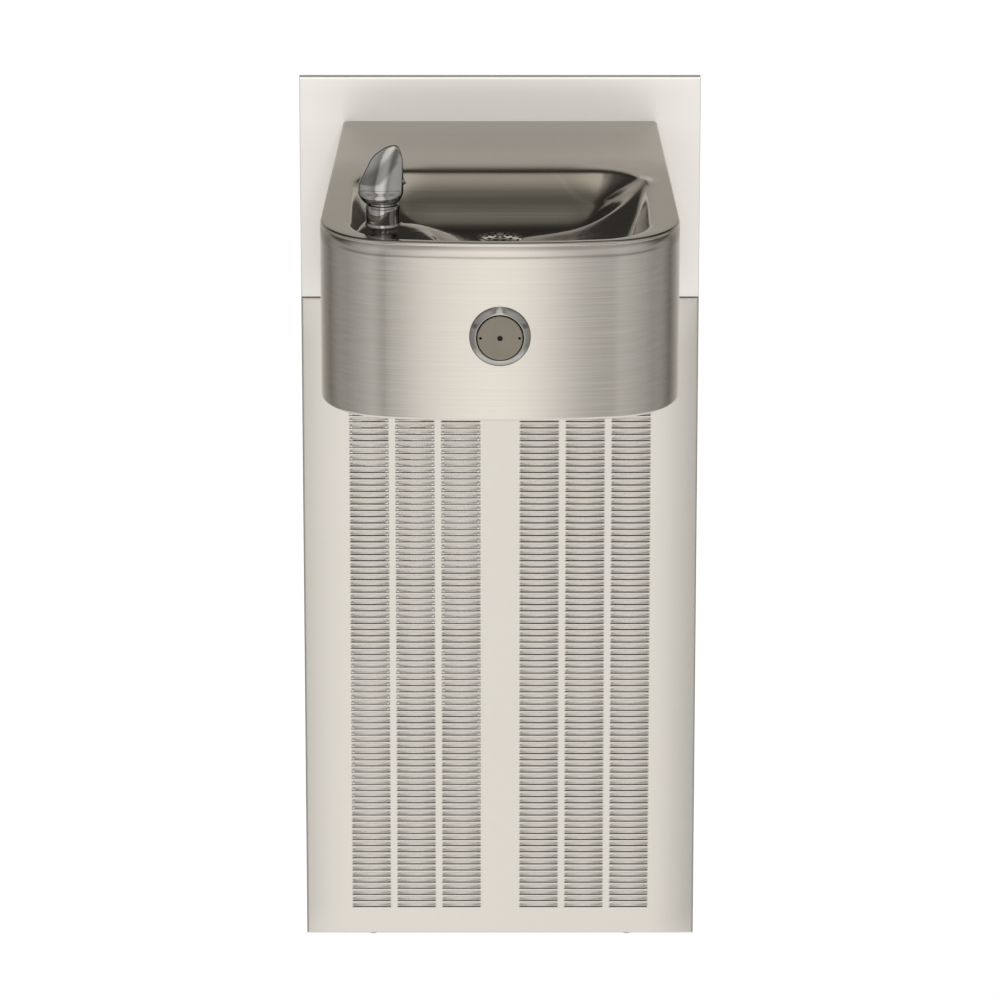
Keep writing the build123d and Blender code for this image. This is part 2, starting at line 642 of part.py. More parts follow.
with BuildPart() as bubbler_locknut:
    hexagon(BUBBLER_X, BUBBLER_Y, 27, PAD_TOP - SHEET - 10, PAD_TOP - SHEET - 2)
    post(BUBBLER_X, BUBBLER_Y, SHANK_RADIUS + 0.1, PAD_TOP - 13, PAD_TOP - 2, mode=Mode.SUBTRACT)
save(bubbler_locknut, "bubbler_locknut")


# ---- Push-button valve --------------------------------------------------------------------------
GASKET_FRONT = BASIN_FRONT - 1.0
BEZEL_FRONT = BASIN_FRONT - 8.0
BEZEL_WEB = GASKET_FRONT - 1.4
SPIGOT_BACK = BASIN_FRONT + 16.0
SPIGOT_RADIUS = 15.4
APRON_INSIDE = BASIN_FRONT + SHEET
with BuildPart() as button_bezel:
    disc(0, BUTTON_Z, BEZEL_RADIUS, BEZEL_FRONT, GASKET_FRONT)
    chamfer(button_bezel.faces().sort_by(Axis.Y)[0].edges(), 4, 6)
    disc(0, BUTTON_Z, BUTTON_RADIUS + 0.3, BEZEL_FRONT - 1, BEZEL_WEB, mode=Mode.SUBTRACT)
    disc(0, BUTTON_Z, SPIGOT_RADIUS, BEZEL_WEB, SPIGOT_BACK)
    disc(0, BUTTON_Z, STEM_RADIUS + STEM_FIT, BEZEL_WEB - 1, SPIGOT_BACK + 1, mode=Mode.SUBTRACT)
save(button_bezel, "button_bezel")

with BuildPart() as bezel_gasket:
    disc(0, BUTTON_Z, BEZEL_RADIUS - 0.8, GASKET_FRONT, BASIN_FRONT + 3)
    disc(0, BUTTON_Z, BUTTON_HOLE, GASKET_FRONT - 1, BASIN_FRONT + 4, mode=Mode.SUBTRACT)
    with BuildSketch(Plane.XY.offset(BUTTON_Z - 40)):
        add(basin_plan.sketch)
    extrude(amount=80, mode=Mode.SUBTRACT)
save(bezel_gasket, "bezel_gasket")

# The button's face is flat with a rolled edge, two spanner holes and a centre hole.
BUTTON_FRONT = BEZEL_FRONT - 0.4
BUTTON_BACK = BEZEL_WEB - BUTTON_TRAVEL - 0.3
STEM_BACK = BASIN_FRONT + 34.0
with BuildPart() as push_button:
    disc(0, BUTTON_Z, BUTTON_RADIUS, BUTTON_FRONT, BUTTON_BACK)
    fillet(push_button.faces().sort_by(Axis.Y)[0].edges(), 0.9)
    for x, radius in ((-21.0, 1.6), (21.0, 1.6), (0.0, 3.0)):
        disc(x, BUTTON_Z, radius, BUTTON_FRONT - 1, BUTTON_BACK + 1, mode=Mode.SUBTRACT)
save(push_button, "push_button")

COLLAR_FRONT = SPIGOT_BACK + 0.2
with BuildPart() as valve_stem:
    disc(0, BUTTON_Z, STEM_RADIUS, BUTTON_BACK, STEM_BACK)
    disc(0, BUTTON_Z, 7.0, COLLAR_FRONT, COLLAR_FRONT + 2)
save(valve_stem, "valve_stem")

SPRING_FRONT = COLLAR_FRONT + 2.0
SPRING_BACK = BASIN_FRONT + 46.0
SPRING_WIRE = 1.2
with BuildPart() as return_spring:
    with BuildLine() as coil:
        Helix(
            pitch=4.2,
            height=SPRING_BACK - SPRING_FRONT - 1.4,
            radius=6.0,
            center=(0, SPRING_FRONT + 0.7, BUTTON_Z),
            direction=(0, 1, 0),
        )
    with BuildSketch(Plane(origin=coil.wire() @ 0, z_dir=coil.wire() % 0)):
        Circle(SPRING_WIRE / 2)
    sweep(path=coil.wire(), is_frenet=True)
save(return_spring, "return_spring")

VALVE_FRONT = BASIN_FRONT + 8.5
PORT_Y = BASIN_FRONT + 38.0
CHAMBER_RADIUS = 9.0
with BuildPart() as valve_body:
    disc(0, BUTTON_Z, VALVE_RADIUS, VALVE_FRONT, VALVE_BACK)
    fillet(valve_body.faces().sort_by(Axis.Y)[-1].edges(), 3)
    disc(0, BUTTON_Z, SPIGOT_RADIUS + 0.1, VALVE_FRONT - 1, SPIGOT_BACK + 0.1, mode=Mode.SUBTRACT)
    disc(0, BUTTON_Z, CHAMBER_RADIUS, SPIGOT_BACK - 1, SPRING_BACK, mode=Mode.SUBTRACT)
    disc(0, BUTTON_Z, 7.5, VALVE_BACK - 1, VALVE_BACK + 12)
    disc(0, BUTTON_Z, TUBE_OD / 2 + 0.1, VALVE_BACK + 2, VALVE_BACK + 13, mode=Mode.SUBTRACT)
    with BuildSketch(Plane.YZ.offset(-VALVE_RADIUS - 11)):
        with Locations((PORT_Y, BUTTON_Z)):
            Circle(7.5)
    extrude(amount=17)
    with BuildSketch(Plane.YZ.offset(-VALVE_RADIUS - 12)):
        with Locations((PORT_Y, BUTTON_Z)):
            Circle(TUBE_OD / 2 + 0.1)
    extrude(amount=10, mode=Mode.SUBTRACT)
save(valve_body, "valve_body")

with BuildPart() as valve_locknut:
    hexagon_y(0, BUTTON_Z, 40, APRON_INSIDE + 0.6, VALVE_FRONT - 0.1)
    disc(0, BUTTON_Z, SPIGOT_RADIUS + 0.1, APRON_INSIDE - 1, VALVE_FRONT + 1, mode=Mode.SUBTRACT)
save(valve_locknut, "valve_locknut")


# ---- Water tubes ------------------------------------------------------------------------------
TUBE_START_X = -VALVE_RADIUS - 3.5
with BuildPart() as bubbler_tube:
    bent_tube(
        [
            (TUBE_START_X, PORT_Y, BUTTON_Z),
            (-70, PORT_Y, BUTTON_Z),
            (BUBBLER_X, BUBBLER_Y, BUTTON_Z),
            (BUBBLER_X, BUBBLER_Y, SHANK_BOTTOM + 12),
        ],
        [16.0, 14.0],
        TUBE_OD,
        TUBE_WALL,
    )
save(bubbler_tube, "bubbler_tube")

CHILLED_X = 60.0
with BuildPart() as chilled_water_tube:
    bent_tube(
        [
            (0, VALVE_BACK + 3, BUTTON_Z),
            (0, VALVE_BACK + 30, BUTTON_Z),
            (CHILLED_X, VALVE_BACK + 60, BUTTON_Z),
            (CHILLED_X, TANK_Y, BUTTON_Z),
            (CHILLED_X, TANK_Y, TANK_TOP),
        ],
        [14.0, 30.0, 40.0],
        TUBE_OD,
        TUBE_WALL,
    )
save(chilled_water_tube, "chilled_water_tube")

STOP_X = -150.0
STOP_Y = 110.0
STOP_TOP = 620.0
INLET_TANK_X = 130.0
with BuildPart() as inlet_tube:
    bent_tube(
        [
            (STOP_X, STOP_Y, STOP_TOP - 6),
            (STOP_X, STOP_Y, 655),
            (INLET_TANK_X, STOP_Y, 655),
            (INLET_TANK_X, STOP_Y, TANK_TOP),
        ],
        20.0,
        TUBE_OD,
        TUBE_WALL,
    )
save(inlet_tube, "inlet_tube")

# Quarter-turn stop valve: the supply stub points into the wall, the outlet points up.
STOP_Z = 590.0
SUPPLY_RADIUS = 7.94
SUPPLY_BACK = STOP_Y + 60.0
HANDLE_PIN = 3.5
with BuildPart() as stop_valve:
    post(STOP_X, STOP_Y, 13, STOP_Z - 14, STOP_Z + 14)
    fillet(stop_valve.edges().filter_by(GeomType.CIRCLE), 2)
    disc(STOP_X, STOP_Z, SUPPLY_RADIUS, STOP_Y + 5, SUPPLY_BACK)
    disc(STOP_X, STOP_Z, 11, STOP_Y + 5, SUPPLY_BACK - 28)
    disc(STOP_X, STOP_Z, SUPPLY_RADIUS - 1.2, STOP_Y + 20, SUPPLY_BACK + 1, mode=Mode.SUBTRACT)
    post(STOP_X, STOP_Y, 8, STOP_Z + 13, STOP_TOP)
    post(STOP_X, STOP_Y, TUBE_OD / 2 + 0.1, STOP_TOP - 6, STOP_TOP + 1, mode=Mode.SUBTRACT)
    disc(STOP_X, STOP_Z, 9.5, STOP_Y - 22, STOP_Y - 5)
    disc(STOP_X, STOP_Z, HANDLE_PIN, STOP_Y - 36, STOP_Y - 21)
save(stop_valve, "stop_valve")

HANDLE_FRONT = STOP_Y - 30.0
with BuildPart() as stop_valve_handle:
    with BuildSketch(upright_plane(HANDLE_FRONT)):
        with Locations((STOP_X, STOP_Z)):
            SlotOverall(48, 16)
    extrude(amount=-6)
    fillet(stop_valve_handle.faces().sort_by(Axis.Y)[0].edges(), 1.5)
    disc(STOP_X, STOP_Z, HANDLE_PIN + 0.06, HANDLE_FRONT - 1, HANDLE_FRONT + 7, mode=Mode.SUBTRACT)
save(stop_valve_handle, "stop_valve_handle")


# ---- Chiller ------------------------------------------------------------------------------------
CAN_LOW = TRAY_Z + FRAME_SHEET + 22.0
CAN_TOP = CAN_LOW + 160.0
FOOT_X = 62.0
FOOT_Y = 45.0
FOOT_TOP = CAN_LOW + 3.0
FEET = [(COMPRESSOR_X + sx * FOOT_X, COMPRESSOR_Y + sy * FOOT_Y) for sx in (-1, 1) for sy in (-1, 1)]
with BuildPart() as compressor:
    with BuildSketch(Plane.XY.offset(CAN_LOW)):
        with Locations((COMPRESSOR_X, COMPRESSOR_Y)):
            RectangleRounded(150, 112, 18)
    extrude(amount=3)
    for x, y in FEET:
        post(x, y, 5.2, CAN_LOW - 1, FOOT_TOP + 1, mode=Mode.SUBTRACT)
    with BuildSketch(Plane.XY.offset(FOOT_TOP)):
        with Locations((COMPRESSOR_X, COMPRESSOR_Y)):
            Ellipse(62, 52)
    extrude(amount=80)
    with BuildSketch(Plane.XY.offset(FOOT_TOP + 76)):
        with Locations((COMPRESSOR_X, COMPRESSOR_Y)):
            Ellipse(65, 55)
    extrude(amount=5)
    with BuildSketch(Plane.XY.offset(FOOT_TOP + 81)):
        with Locations((COMPRESSOR_X, COMPRESSOR_Y)):
            Ellipse(62, 52)
    extrude(amount=CAN_TOP - FOOT_TOP - 81)
    fillet(compressor.faces().sort_by(Axis.Z)[-1].edges(), 34)
save(compressor, "compressor")

with BuildPart() as compressor_mounts:
    for x, y in FEET:
        post(x, y, 10, TRAY_Z + FRAME_SHEET, CAN_LOW)
        post(x, y, 5, CAN_LOW, FOOT_TOP)
        post(x, y, 9, FOOT_TOP, FOOT_TOP + 4)
save(compressor_mounts, "compressor_mounts")

RELAY_X = COMPRESSOR_X - 30
with BuildPart() as relay_cover:
    box_between(
        (RELAY_X - 22, COMPRESSOR_Y - 85, CAN_LOW + 25),
        (RELAY_X + 34, COMPRESSOR_Y - 55.5, CAN_LOW + 85),
    )
    fillet(relay_cover.faces().sort_by(Axis.Y)[0].edges(), 4)
save(relay_cover, "relay_cover")

# Condenser: a serpentine-tube block with vertical fins between two end plates.
COND = (26.0, 189.0)
COND_Y = (16.0, 52.0)
COND_Z = (TRAY_Z + FRAME_SHEET, 318.0)
FIN_COUNT = 40
with BuildPart() as condenser:
    box_between((COND[0], COND_Y[0], COND_Z[0] + 8), (COND[1], COND_Y[1], COND_Z[1] - 8))
    fin_pitch = (COND[1] - COND[0]) / FIN_COUNT
    with BuildSketch(upright_plane(COND_Y[0] - 1)):
        with Locations(((COND[0] + COND[1]) / 2, (COND_Z[0] + COND_Z[1]) / 2)):
            with GridLocations(fin_pitch, 1, FIN_COUNT, 1):
                Rectangle(fin_pitch * 0.6, COND_Z[1] - COND_Z[0] - 24)
    extrude(amount=-8, mode=Mode.SUBTRACT)
    for x in (COND[0] - 2, COND[1]):
        box_between((x, COND_Y[0] - 2, COND_Z[0]), (x + 2, COND_Y[1], COND_Z[1]))
save(condenser, "condenser")

# Shroud: a box collar behind the condenser with a round duct for the fan.
SHROUD_Y = (COND_Y[1], 96.0)
MOTOR_FRONT = 108.0
SHROUD_SHEET = 1.5
SHROUD_LOW = (COND[0] - 2, TRAY_Z + FRAME_SHEET)
SHROUD_HIGH = (COND[1] + 2, COND_Z[1])
MOTOR_RADIUS = 34.0
with BuildPart() as fan_shroud:
    box_between((SHROUD_LOW[0], SHROUD_Y[0], SHROUD_LOW[1]), (SHROUD_HIGH[0], SHROUD_Y[1], SHROUD_HIGH[1]))
    box_between(
        (SHROUD_LOW[0] + SHROUD_SHEET, SHROUD_Y[0] - 1, SHROUD_LOW[1] + SHROUD_SHEET),
        (SHROUD_HIGH[0] - SHROUD_SHEET, SHROUD_Y[1] - SHROUD_SHEET, SHROUD_HIGH[1] - SHROUD_SHEET),
        mode=Mode.SUBTRACT,
    )
    disc(FAN_X, FAN_Z, DUCT_RADIUS, SHROUD_Y[1] - 5, SHROUD_Y[1] + 1, mode=Mode.SUBTRACT)
    for z in (FAN_Z - 40, FAN_Z + 28):
        box_between((SHROUD_LOW[0], SHROUD_Y[1], z), (SHROUD_HIGH[0], SHROUD_Y[1] + 3, z + 12))
        for x in (FAN_X - 30, FAN_X + 18):
            box_between((x, SHROUD_Y[1] + 3, z), (x + 12, MOTOR_FRONT + 40, z + 12))
    disc(FAN_X, FAN_Z, MOTOR_RADIUS + 0.1, SHROUD_Y[1] + 3, MOTOR_FRONT + 41, mode=Mode.SUBTRACT)
save(fan_shroud, "fan_shroud")

SHAFT_RADIUS = 4.0
with BuildPart() as fan_motor:
    disc(FAN_X, FAN_Z, MOTOR_RADIUS, MOTOR_FRONT, MOTOR_FRONT + 46)
    fillet(fan_motor.edges().filter_by(GeomType.CIRCLE), 4)
    disc(FAN_X, FAN_Z, 10, MOTOR_FRONT - 5, MOTOR_FRONT + 1)
    disc(FAN_X, FAN_Z, SHAFT_RADIUS + 0.06, MOTOR_FRONT - 6, MOTOR_FRONT + 30, mode=Mode.SUBTRACT)
save(fan_motor, "fan_motor")

# Fan: five pitched blades on a hub, with its shaft running in the motor.
HUB_RADIUS = 16.0
HUB_Y = (72.0, 94.0)
BLADE_CHORD = 40.0
BLADE_PITCH = 28.0
BLADES = 5
with BuildPart() as fan_rotor:
    disc(FAN_X, FAN_Z, HUB_RADIUS, *HUB_Y)
    fillet(fan_rotor.faces().sort_by(Axis.Y)[0].edges(), 3)
    disc(FAN_X, FAN_Z, SHAFT_RADIUS, HUB_Y[1] - 1, MOTOR_FRONT + 28)
    for i in range(BLADES):
        turn = radians(i * 360 / BLADES)
        out = Vector(cos(turn), 0, sin(turn))
        along = Vector(-sin(turn), 0, cos(turn))
        chord = along * cos(radians(BLADE_PITCH)) + Vector(0, sin(radians(BLADE_PITCH)), 0)
        hub_centre = Vector(FAN_X, (HUB_Y[0] + HUB_Y[1]) / 2, FAN_Z)
        blade = Plane(origin=hub_centre + out * 38, x_dir=out, z_dir=out.cross(chord))
        with BuildSketch(blade):
            RectangleRounded(50, BLADE_CHORD, 12)
        extrude(amount=0.8, both=True)
save(fan_rotor, "fan_rotor")

with BuildPart() as cooling_tank:
    post(TANK_X, TANK_Y, TANK_RADIUS, SHELF_Z + FRAME_SHEET, TANK_TOP)
    fillet(cooling_tank.edges().filter_by(GeomType.CIRCLE), 14)
save(cooling_tank, "cooling_tank")

LINE_HOLE = (-135.0, -28.0, 40.0, 165.0)
with BuildPart() as tank_shelf:
    box_between((-RAIL_HALF, RAIL_FRONT, SHELF_Z), (RAIL_HALF, 235, SHELF_Z + FRAME_SHEET))
    box_between(
        (LINE_HOLE[0], LINE_HOLE[2], SHELF_Z - 1),
        (LINE_HOLE[1], LINE_HOLE[3], SHELF_Z + 4),
        mode=Mode.SUBTRACT,
    )
    for y in (RAIL_FRONT, 235 - FRAME_SHEET):
        box_between((-RAIL_HALF, y, SHELF_Z - 18), (RAIL_HALF, y + FRAME_SHEET, SHELF_Z))
save(tank_shelf, "tank_shelf")

LINE_OD = 8.0
with BuildPart() as discharge_line:
    bent_tube(
        [
            (COMPRESSOR_X + 18, COMPRESSOR_Y - 8, CAN_TOP),
            (COMPRESSOR_X + 18, COMPRESSOR_Y - 8, 335),
            (45, 34, 335),
            (45, 34, COND_Z[1] - 8),
        ],
        [16.0, 8.0],
        LINE_OD,
        1.0,
    )
save(discharge_line, "discharge_line")

# Drier with the liquid line into its foot and the thin capillary from its head to the tank.
DRIER_X = -5.0
DRIER_Y = 36.0
DRIER = (140.0, 250.0)
with BuildPart() as filter_drier:
    post(DRIER_X, DRIER_Y, 12, *DRIER)
    fillet(filter_drier.edges().filter_by(GeomType.CIRCLE), 6)
    bent_tube(
        [(COND[0] - 2, DRIER_Y, 100), (DRIER_X, DRIER_Y, 100), (DRIER_X, DRIER_Y, DRIER[0] + 2)],
        12.0,
        6.0,
        0.0,
    )
    bent_tube(
        [
            (DRIER_X, DRIER_Y, DRIER[1] - 2),
            (DRIER_X, DRIER_Y, 300),
            (-50, 60, 320),
            (-50, 60, 440),
            (-50, TANK_Y, 440),
            (TANK_X - TANK_RADIUS, TANK_Y, 440),
        ],
        [14.0, 14.0, 14.0, 14.0],
        3.0,
        0.0,
    )
save(filter_drier, "filter_drier")

with BuildPart() as suction_line:
    bent_tube(
        [
            (COMPRESSOR_X - 15, TANK_Y, CAN_TOP),
            (COMPRESSOR_X - 15, TANK_Y, 590),
            (TANK_X - TANK_RADIUS, TANK_Y, 590),
        ],
        28.0,
        9.5,
        1.0,
    )
save(suction_line, "suction_line")

# Control box on the left upright, with the thermostat knob on its cover.
BOX_X = (-199.0, -135.0)
BOX_Y = (14.0, 74.0)
BOX_Z = (430.0, 550.0)
BOX_SHEET = 1.5
KNOB_X = -167.0
KNOB_Z = 490.0
KNOB_SHAFT = 3.0
GLAND_Z = BOX_Z[1]
with BuildPart() as control_box:
    box_between((BOX_X[0], BOX_Y[0], BOX_Z[0]), (BOX_X[1], BOX_Y[1], BOX_Z[1]))
    box_between(
        (BOX_X[0] + BOX_SHEET, BOX_Y[0] - 1, BOX_Z[0] + BOX_SHEET),
        (BOX_X[1] - BOX_SHEET, BOX_Y[1] - BOX_SHEET, BOX_Z[1] - BOX_SHEET),
        mode=Mode.SUBTRACT,
    )
    box_between((-FRAME_HALF + FRAME_SHEET, 40, 450), (BOX_X[0], 60, 530))
    post(KNOB_X, 44, 8.2, BOX_Z[1] - 3, BOX_Z[1] + 1, mode=Mode.SUBTRACT)
save(control_box, "control_box")

with BuildPart() as control_box_cover:
    box_between((BOX_X[0], BOX_Y[0] - BOX_SHEET, BOX_Z[0]), (BOX_X[1], BOX_Y[0], BOX_Z[1]))
    disc(KNOB_X, KNOB_Z, KNOB_SHAFT + 0.06, BOX_Y[0] - 3, BOX_Y[0] + 1, mode=Mode.SUBTRACT)
save(control_box_cover, "control_box_cover")

with BuildPart() as thermostat_knob:
    disc(KNOB_X, KNOB_Z, 11, 4.5, BOX_Y[0] - BOX_SHEET - 0.4)
    fillet(thermostat_knob.faces().sort_by(Axis.Y)[0].edges(), 1.5)
    box_between((KNOB_X - 1.5, 3.2, KNOB_Z - 10), (KNOB_X + 1.5, 6, KNOB_Z + 10))
    disc(KNOB_X, KNOB_Z, KNOB_SHAFT, BOX_Y[0] - BOX_SHEET - 1, BOX_Y[0] + 8)
save(thermostat_knob, "thermostat_knob")

GLAND_BORE = 4.5
with BuildPart() as cable_gland:
    hexagon(KNOB_X, 44, 22, GLAND_Z, GLAND_Z + 6)
    post(KNOB_X, 44, 9.5, GLAND_Z + 6, GLAND_Z + 18)
    post(KNOB_X, 44, 8, GLAND_Z - 8, GLAND_Z + 1)
    post(KNOB_X, 44, GLAND_BORE, GLAND_Z - 9, GLAND_Z + 19, mode=Mode.SUBTRACT)
save(cable_gland, "cable_gland")
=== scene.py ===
import json
import math

import bpy
import numpy as np
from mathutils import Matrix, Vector


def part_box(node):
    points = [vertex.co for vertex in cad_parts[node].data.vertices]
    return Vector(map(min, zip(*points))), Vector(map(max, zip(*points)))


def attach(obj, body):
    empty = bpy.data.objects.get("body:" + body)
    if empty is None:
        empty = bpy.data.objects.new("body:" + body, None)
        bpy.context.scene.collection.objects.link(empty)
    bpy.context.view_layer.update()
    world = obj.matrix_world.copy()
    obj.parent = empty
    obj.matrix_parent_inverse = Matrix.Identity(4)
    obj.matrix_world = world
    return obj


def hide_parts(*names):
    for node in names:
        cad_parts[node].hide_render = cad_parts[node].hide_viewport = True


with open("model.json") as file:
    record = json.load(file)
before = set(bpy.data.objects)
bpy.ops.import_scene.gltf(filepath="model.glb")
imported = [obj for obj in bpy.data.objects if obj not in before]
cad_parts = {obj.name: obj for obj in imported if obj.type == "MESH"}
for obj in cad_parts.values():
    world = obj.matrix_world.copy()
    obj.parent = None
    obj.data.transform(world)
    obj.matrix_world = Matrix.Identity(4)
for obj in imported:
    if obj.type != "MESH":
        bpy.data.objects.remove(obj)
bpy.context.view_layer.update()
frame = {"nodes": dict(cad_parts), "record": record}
MM = 0.001


def corner_box(node):
    """Lowest and highest corner of a CAD node, in millimetres."""
    low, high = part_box(node)
    return np.array(low) / MM, np.array(high) / MM


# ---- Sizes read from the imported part, in millimetres --------------------------------
plate_low, plate_high = corner_box("upper_back_plate")
louver_low, louver_high = corner_box("louvered_access_panel")
basin_low, basin_high = corner_box("basin_top")
apron_low, _ = corner_box("apron")
bowl_drain_low, bowl_drain_high = corner_box("drain_body")
base_low, base_high = corner_box("bubbler_base")
hood_low, _ = corner_box("bubbler_head")
bezel_low, bezel_high = corner_box("button_bezel")

PANEL_HALF = plate_high[0]
PANEL_FACE = plate_low[1]
DECK = basin_high[2]
APRON_BOTTOM = apron_low[2]
BASIN_FRONT = basin_low[1]
DRAIN = np.array([(bowl_drain_low[0] + bowl_drain_high[0]) / 2, (bowl_drain_low[1] + bowl_drain_high[1]) / 2])
HOOD_X = (base_low[0] + base_high[0]) / 2
HOOD_Y = (base_low[1] + base_high[1]) / 2
BUTTON_Z = (bezel_low[2] + bezel_high[2]) / 2

# ---- Small mesh tools ------------------------------------------------------------------


def mesh_object(name, points, faces, smooth=True):
    """A mesh object from points in millimetres and index lists."""
    mesh = bpy.data.meshes.new(name)
    mesh.from_pydata((np.asarray(points, float) * MM).tolist(), [], [list(map(int, f)) for f in faces])
    mesh.validate()
    mesh.polygons.foreach_set("use_smooth", [smooth] * len(mesh.polygons))
    made = bpy.data.objects.new(name, mesh)
    bpy.context.scene.collection.objects.link(made)
    return made


def ring_faces(rings, count):
    """Quads between consecutive closed rings of count points each."""
    faces = []
    for i in range(rings - 1):
        for j in range(count):
            k = (j + 1) % count
            faces.append((i * count + j, i * count + k, (i + 1) * count + k, (i + 1) * count + j))
    return faces


def cap(faces, start, count, flip=False):
    ring = list(range(start, start + count))
    faces.append(ring[::-1] if flip else ring)


def thicken(made, thickness, offset=-1.0):
    solid = made.modifiers.new("sheet", "SOLIDIFY")
    solid.thickness = thickness * MM
    solid.offset = offset
    solid.use_even_offset = True
    return made


def lathe(name, profile, origin, axis="Z", steps=96):
    """A turned piece. The profile is a closed loop of (radius, height) in millimetres."""
    points = []
    for radius, height in profile:
        for j in range(steps):
            a = 2 * math.pi * j / steps
            u, v = radius * math.cos(a), radius * math.sin(a)
            if axis == "Z":
                points.append((origin[0] + u, origin[1] + v, origin[2] + height))
            else:
                points.append((origin[0] + u, origin[1] + height, origin[2] - v))
    faces = ring_faces(len(profile), steps)
    last = (len(profile) - 1) * steps
    for j in range(steps):
        k = (j + 1) % steps
        faces.append((last + j, last + k, k, j))
    if axis == "Y":
        faces = [face[::-1] for face in faces]
    return mesh_object(name, points, faces)


def round_profile(corners, radius, steps=5):
    """Rounds the inner corners of an open (r, h) profile."""
    out = [np.array(corners[0], float)]
    for before, here, after in zip(corners, corners[1:], corners[2:]):
        here = np.array(here, float)
        a = np.array(before, float) - here
        b = np.array(after, float) - here
        la, lb = np.linalg.norm(a), np.linalg.norm(b)
        cut = min(radius, la * 0.45, lb * 0.45)
        start, end = here + a / la * cut, here + b / lb * cut
        for k in range(steps + 1):
            t = k / steps
            out.append((1 - t) ** 2 * start + 2 * t * (1 - t) * here + t**2 * end)
    out.append(np.array(corners[-1], float))
    return [tuple(p) for p in out]


def smoothstep(t):
    t = np.clip(t, 0, 1)
    return t * t * (3 - 2 * t)


def soft_max(a, b, soft):
    return 0.5 * (a + b + np.sqrt((a - b) ** 2 + soft * soft))


# ---- Materials ----------------------------------------------------------------------------


def new_material(name):
    material = bpy.data.materials.new(name)
    material.use_nodes = True
    tree = material.node_tree
    shader = tree.nodes["Principled BSDF"]
    coords = tree.nodes.new("ShaderNodeTexCoord")
    return material, tree, shader, coords


def noise_field(tree, coords, scale, detail=4.0, stretch=(1, 1, 1)):
    """Object-space noise, stretched along the directions with small factors."""
    mapping = tree.nodes.new("ShaderNodeMapping")
    mapping.inputs["Scale"].default_value = stretch
    tree.links.new(coords.outputs["Object"], mapping.inputs["Vector"])
    noise = tree.nodes.new("ShaderNodeTexNoise")
    noise.inputs["Scale"].default_value = scale
    noise.inputs["Detail"].default_value = detail
    tree.links.new(mapping.outputs["Vector"], noise.inputs["Vector"])
    return noise.outputs["Fac"]


def remap(tree, value, low, high, source=(0.3, 0.7)):
    """The value's source range stretched to low..high, and held there outside it."""
    node = tree.nodes.new("ShaderNodeMapRange")
    node.inputs["From Min"].default_value = source[0]
    node.inputs["From Max"].default_value = source[1]
    node.inputs["To Min"].default_value = low
    node.inputs["To Max"].default_value = high
    tree.links.new(value, node.inputs["Value"])
    return node.outputs["Result"]


def math_node(tree, operation, *values, clamp=False):
    """One arithmetic node. Each value is a number or another node's output."""
    node = tree.nodes.new("ShaderNodeMath")
    node.operation = operation
    node.use_clamp = clamp
    for socket, value in zip(node.inputs, values):
        if isinstance(value, (int, float)):
            socket.default_value = value
        else:
            tree.links.new(value, socket)
    return node.outputs[0]


def ramp(tree, value, stops):
    """A colour ramp with (position, colour) stops."""
    node = tree.nodes.new("ShaderNodeValToRGB")
    elements = node.color_ramp.elements
    while len(elements) > 1:
        elements.remove(elements[-1])
    elements[0].position = stops[0][0]
    elements[0].color = (*stops[0][1], 1)
    for position, colour in stops[1:]:
        element = elements.new(position)
        element.color = (*colour, 1)
    tree.links.new(value, node.inputs["Fac"])
    return node.outputs["Color"]


def blend_colours(tree, factor, a, b):
    """A mix of two colours. Each of the three is a number, a colour or an output."""
    node = tree.nodes.new("ShaderNodeMix")
    node.data_type = "RGBA"
    for socket, value in ((node.inputs["Factor"], factor), (node.inputs["A"], a), (node.inputs["B"], b)):
        if isinstance(value, (int, float)):
            socket.default_value = value
        elif isinstance(value, tuple):
            socket.default_value = (*value, 1)
        else:
            tree.links.new(value, socket)
    return node.outputs["Result"]


def bump(tree, value, shader, strength, distance):
    node = tree.nodes.new("ShaderNodeBump")
    node.inputs["Strength"].default_value = strength
    node.inputs["Distance"].default_value = distance
    tree.links.new(value, node.inputs["Height"])
    tree.links.new(node.outputs["Normal"], shader.inputs["Normal"])


def brushed(name, dark, light, rough, grain, bump_strength):
    """Satin sheet metal: fine grain stretched along X, with slow changes of tone."""
    material, tree, shader, coords = new_material(name)
    fine = noise_field(tree, coords, 1.0, 3.0, grain)
    slow = noise_field(tree, coords, 6.0, 3.0)
    mixed = math_node(tree, "MULTIPLY_ADD", fine, 0.75, math_node(tree, "MULTIPLY", slow, 0.25))
    tree.links.new(blend_colours(tree, mixed, dark, light), shader.inputs["Base Color"])
    tree.links.new(remap(tree, fine, rough[0], rough[1]), shader.inputs["Roughness"])
    shader.inputs["Metallic"].default_value = 1.0
    bump(tree, fine, shader, bump_strength, 0.0004)
    return material


def plain(name, dark, light, rough, metallic, scale, bump_strength, coat=0.0):
    """Paint, plastic, rubber or plain metal with a little grain and wear."""
    material, tree, shader, coords = new_material(name)
    coarse = noise_field(tree, coords, scale, 5.0)
    fine = noise_field(tree, coords, scale * 22, 2.0)
    tree.links.new(blend_colours(tree, coarse, dark, light), shader.inputs["Base Color"])
    tree.links.new(remap(tree, coarse, rough[0], rough[1]), shader.inputs["Roughness"])
    shader.inputs["Metallic"].default_value = metallic
    shader.inputs["Coat Weight"].default_value = coat
    bump(tree, fine, shader, bump_strength, 0.0003)
    return material


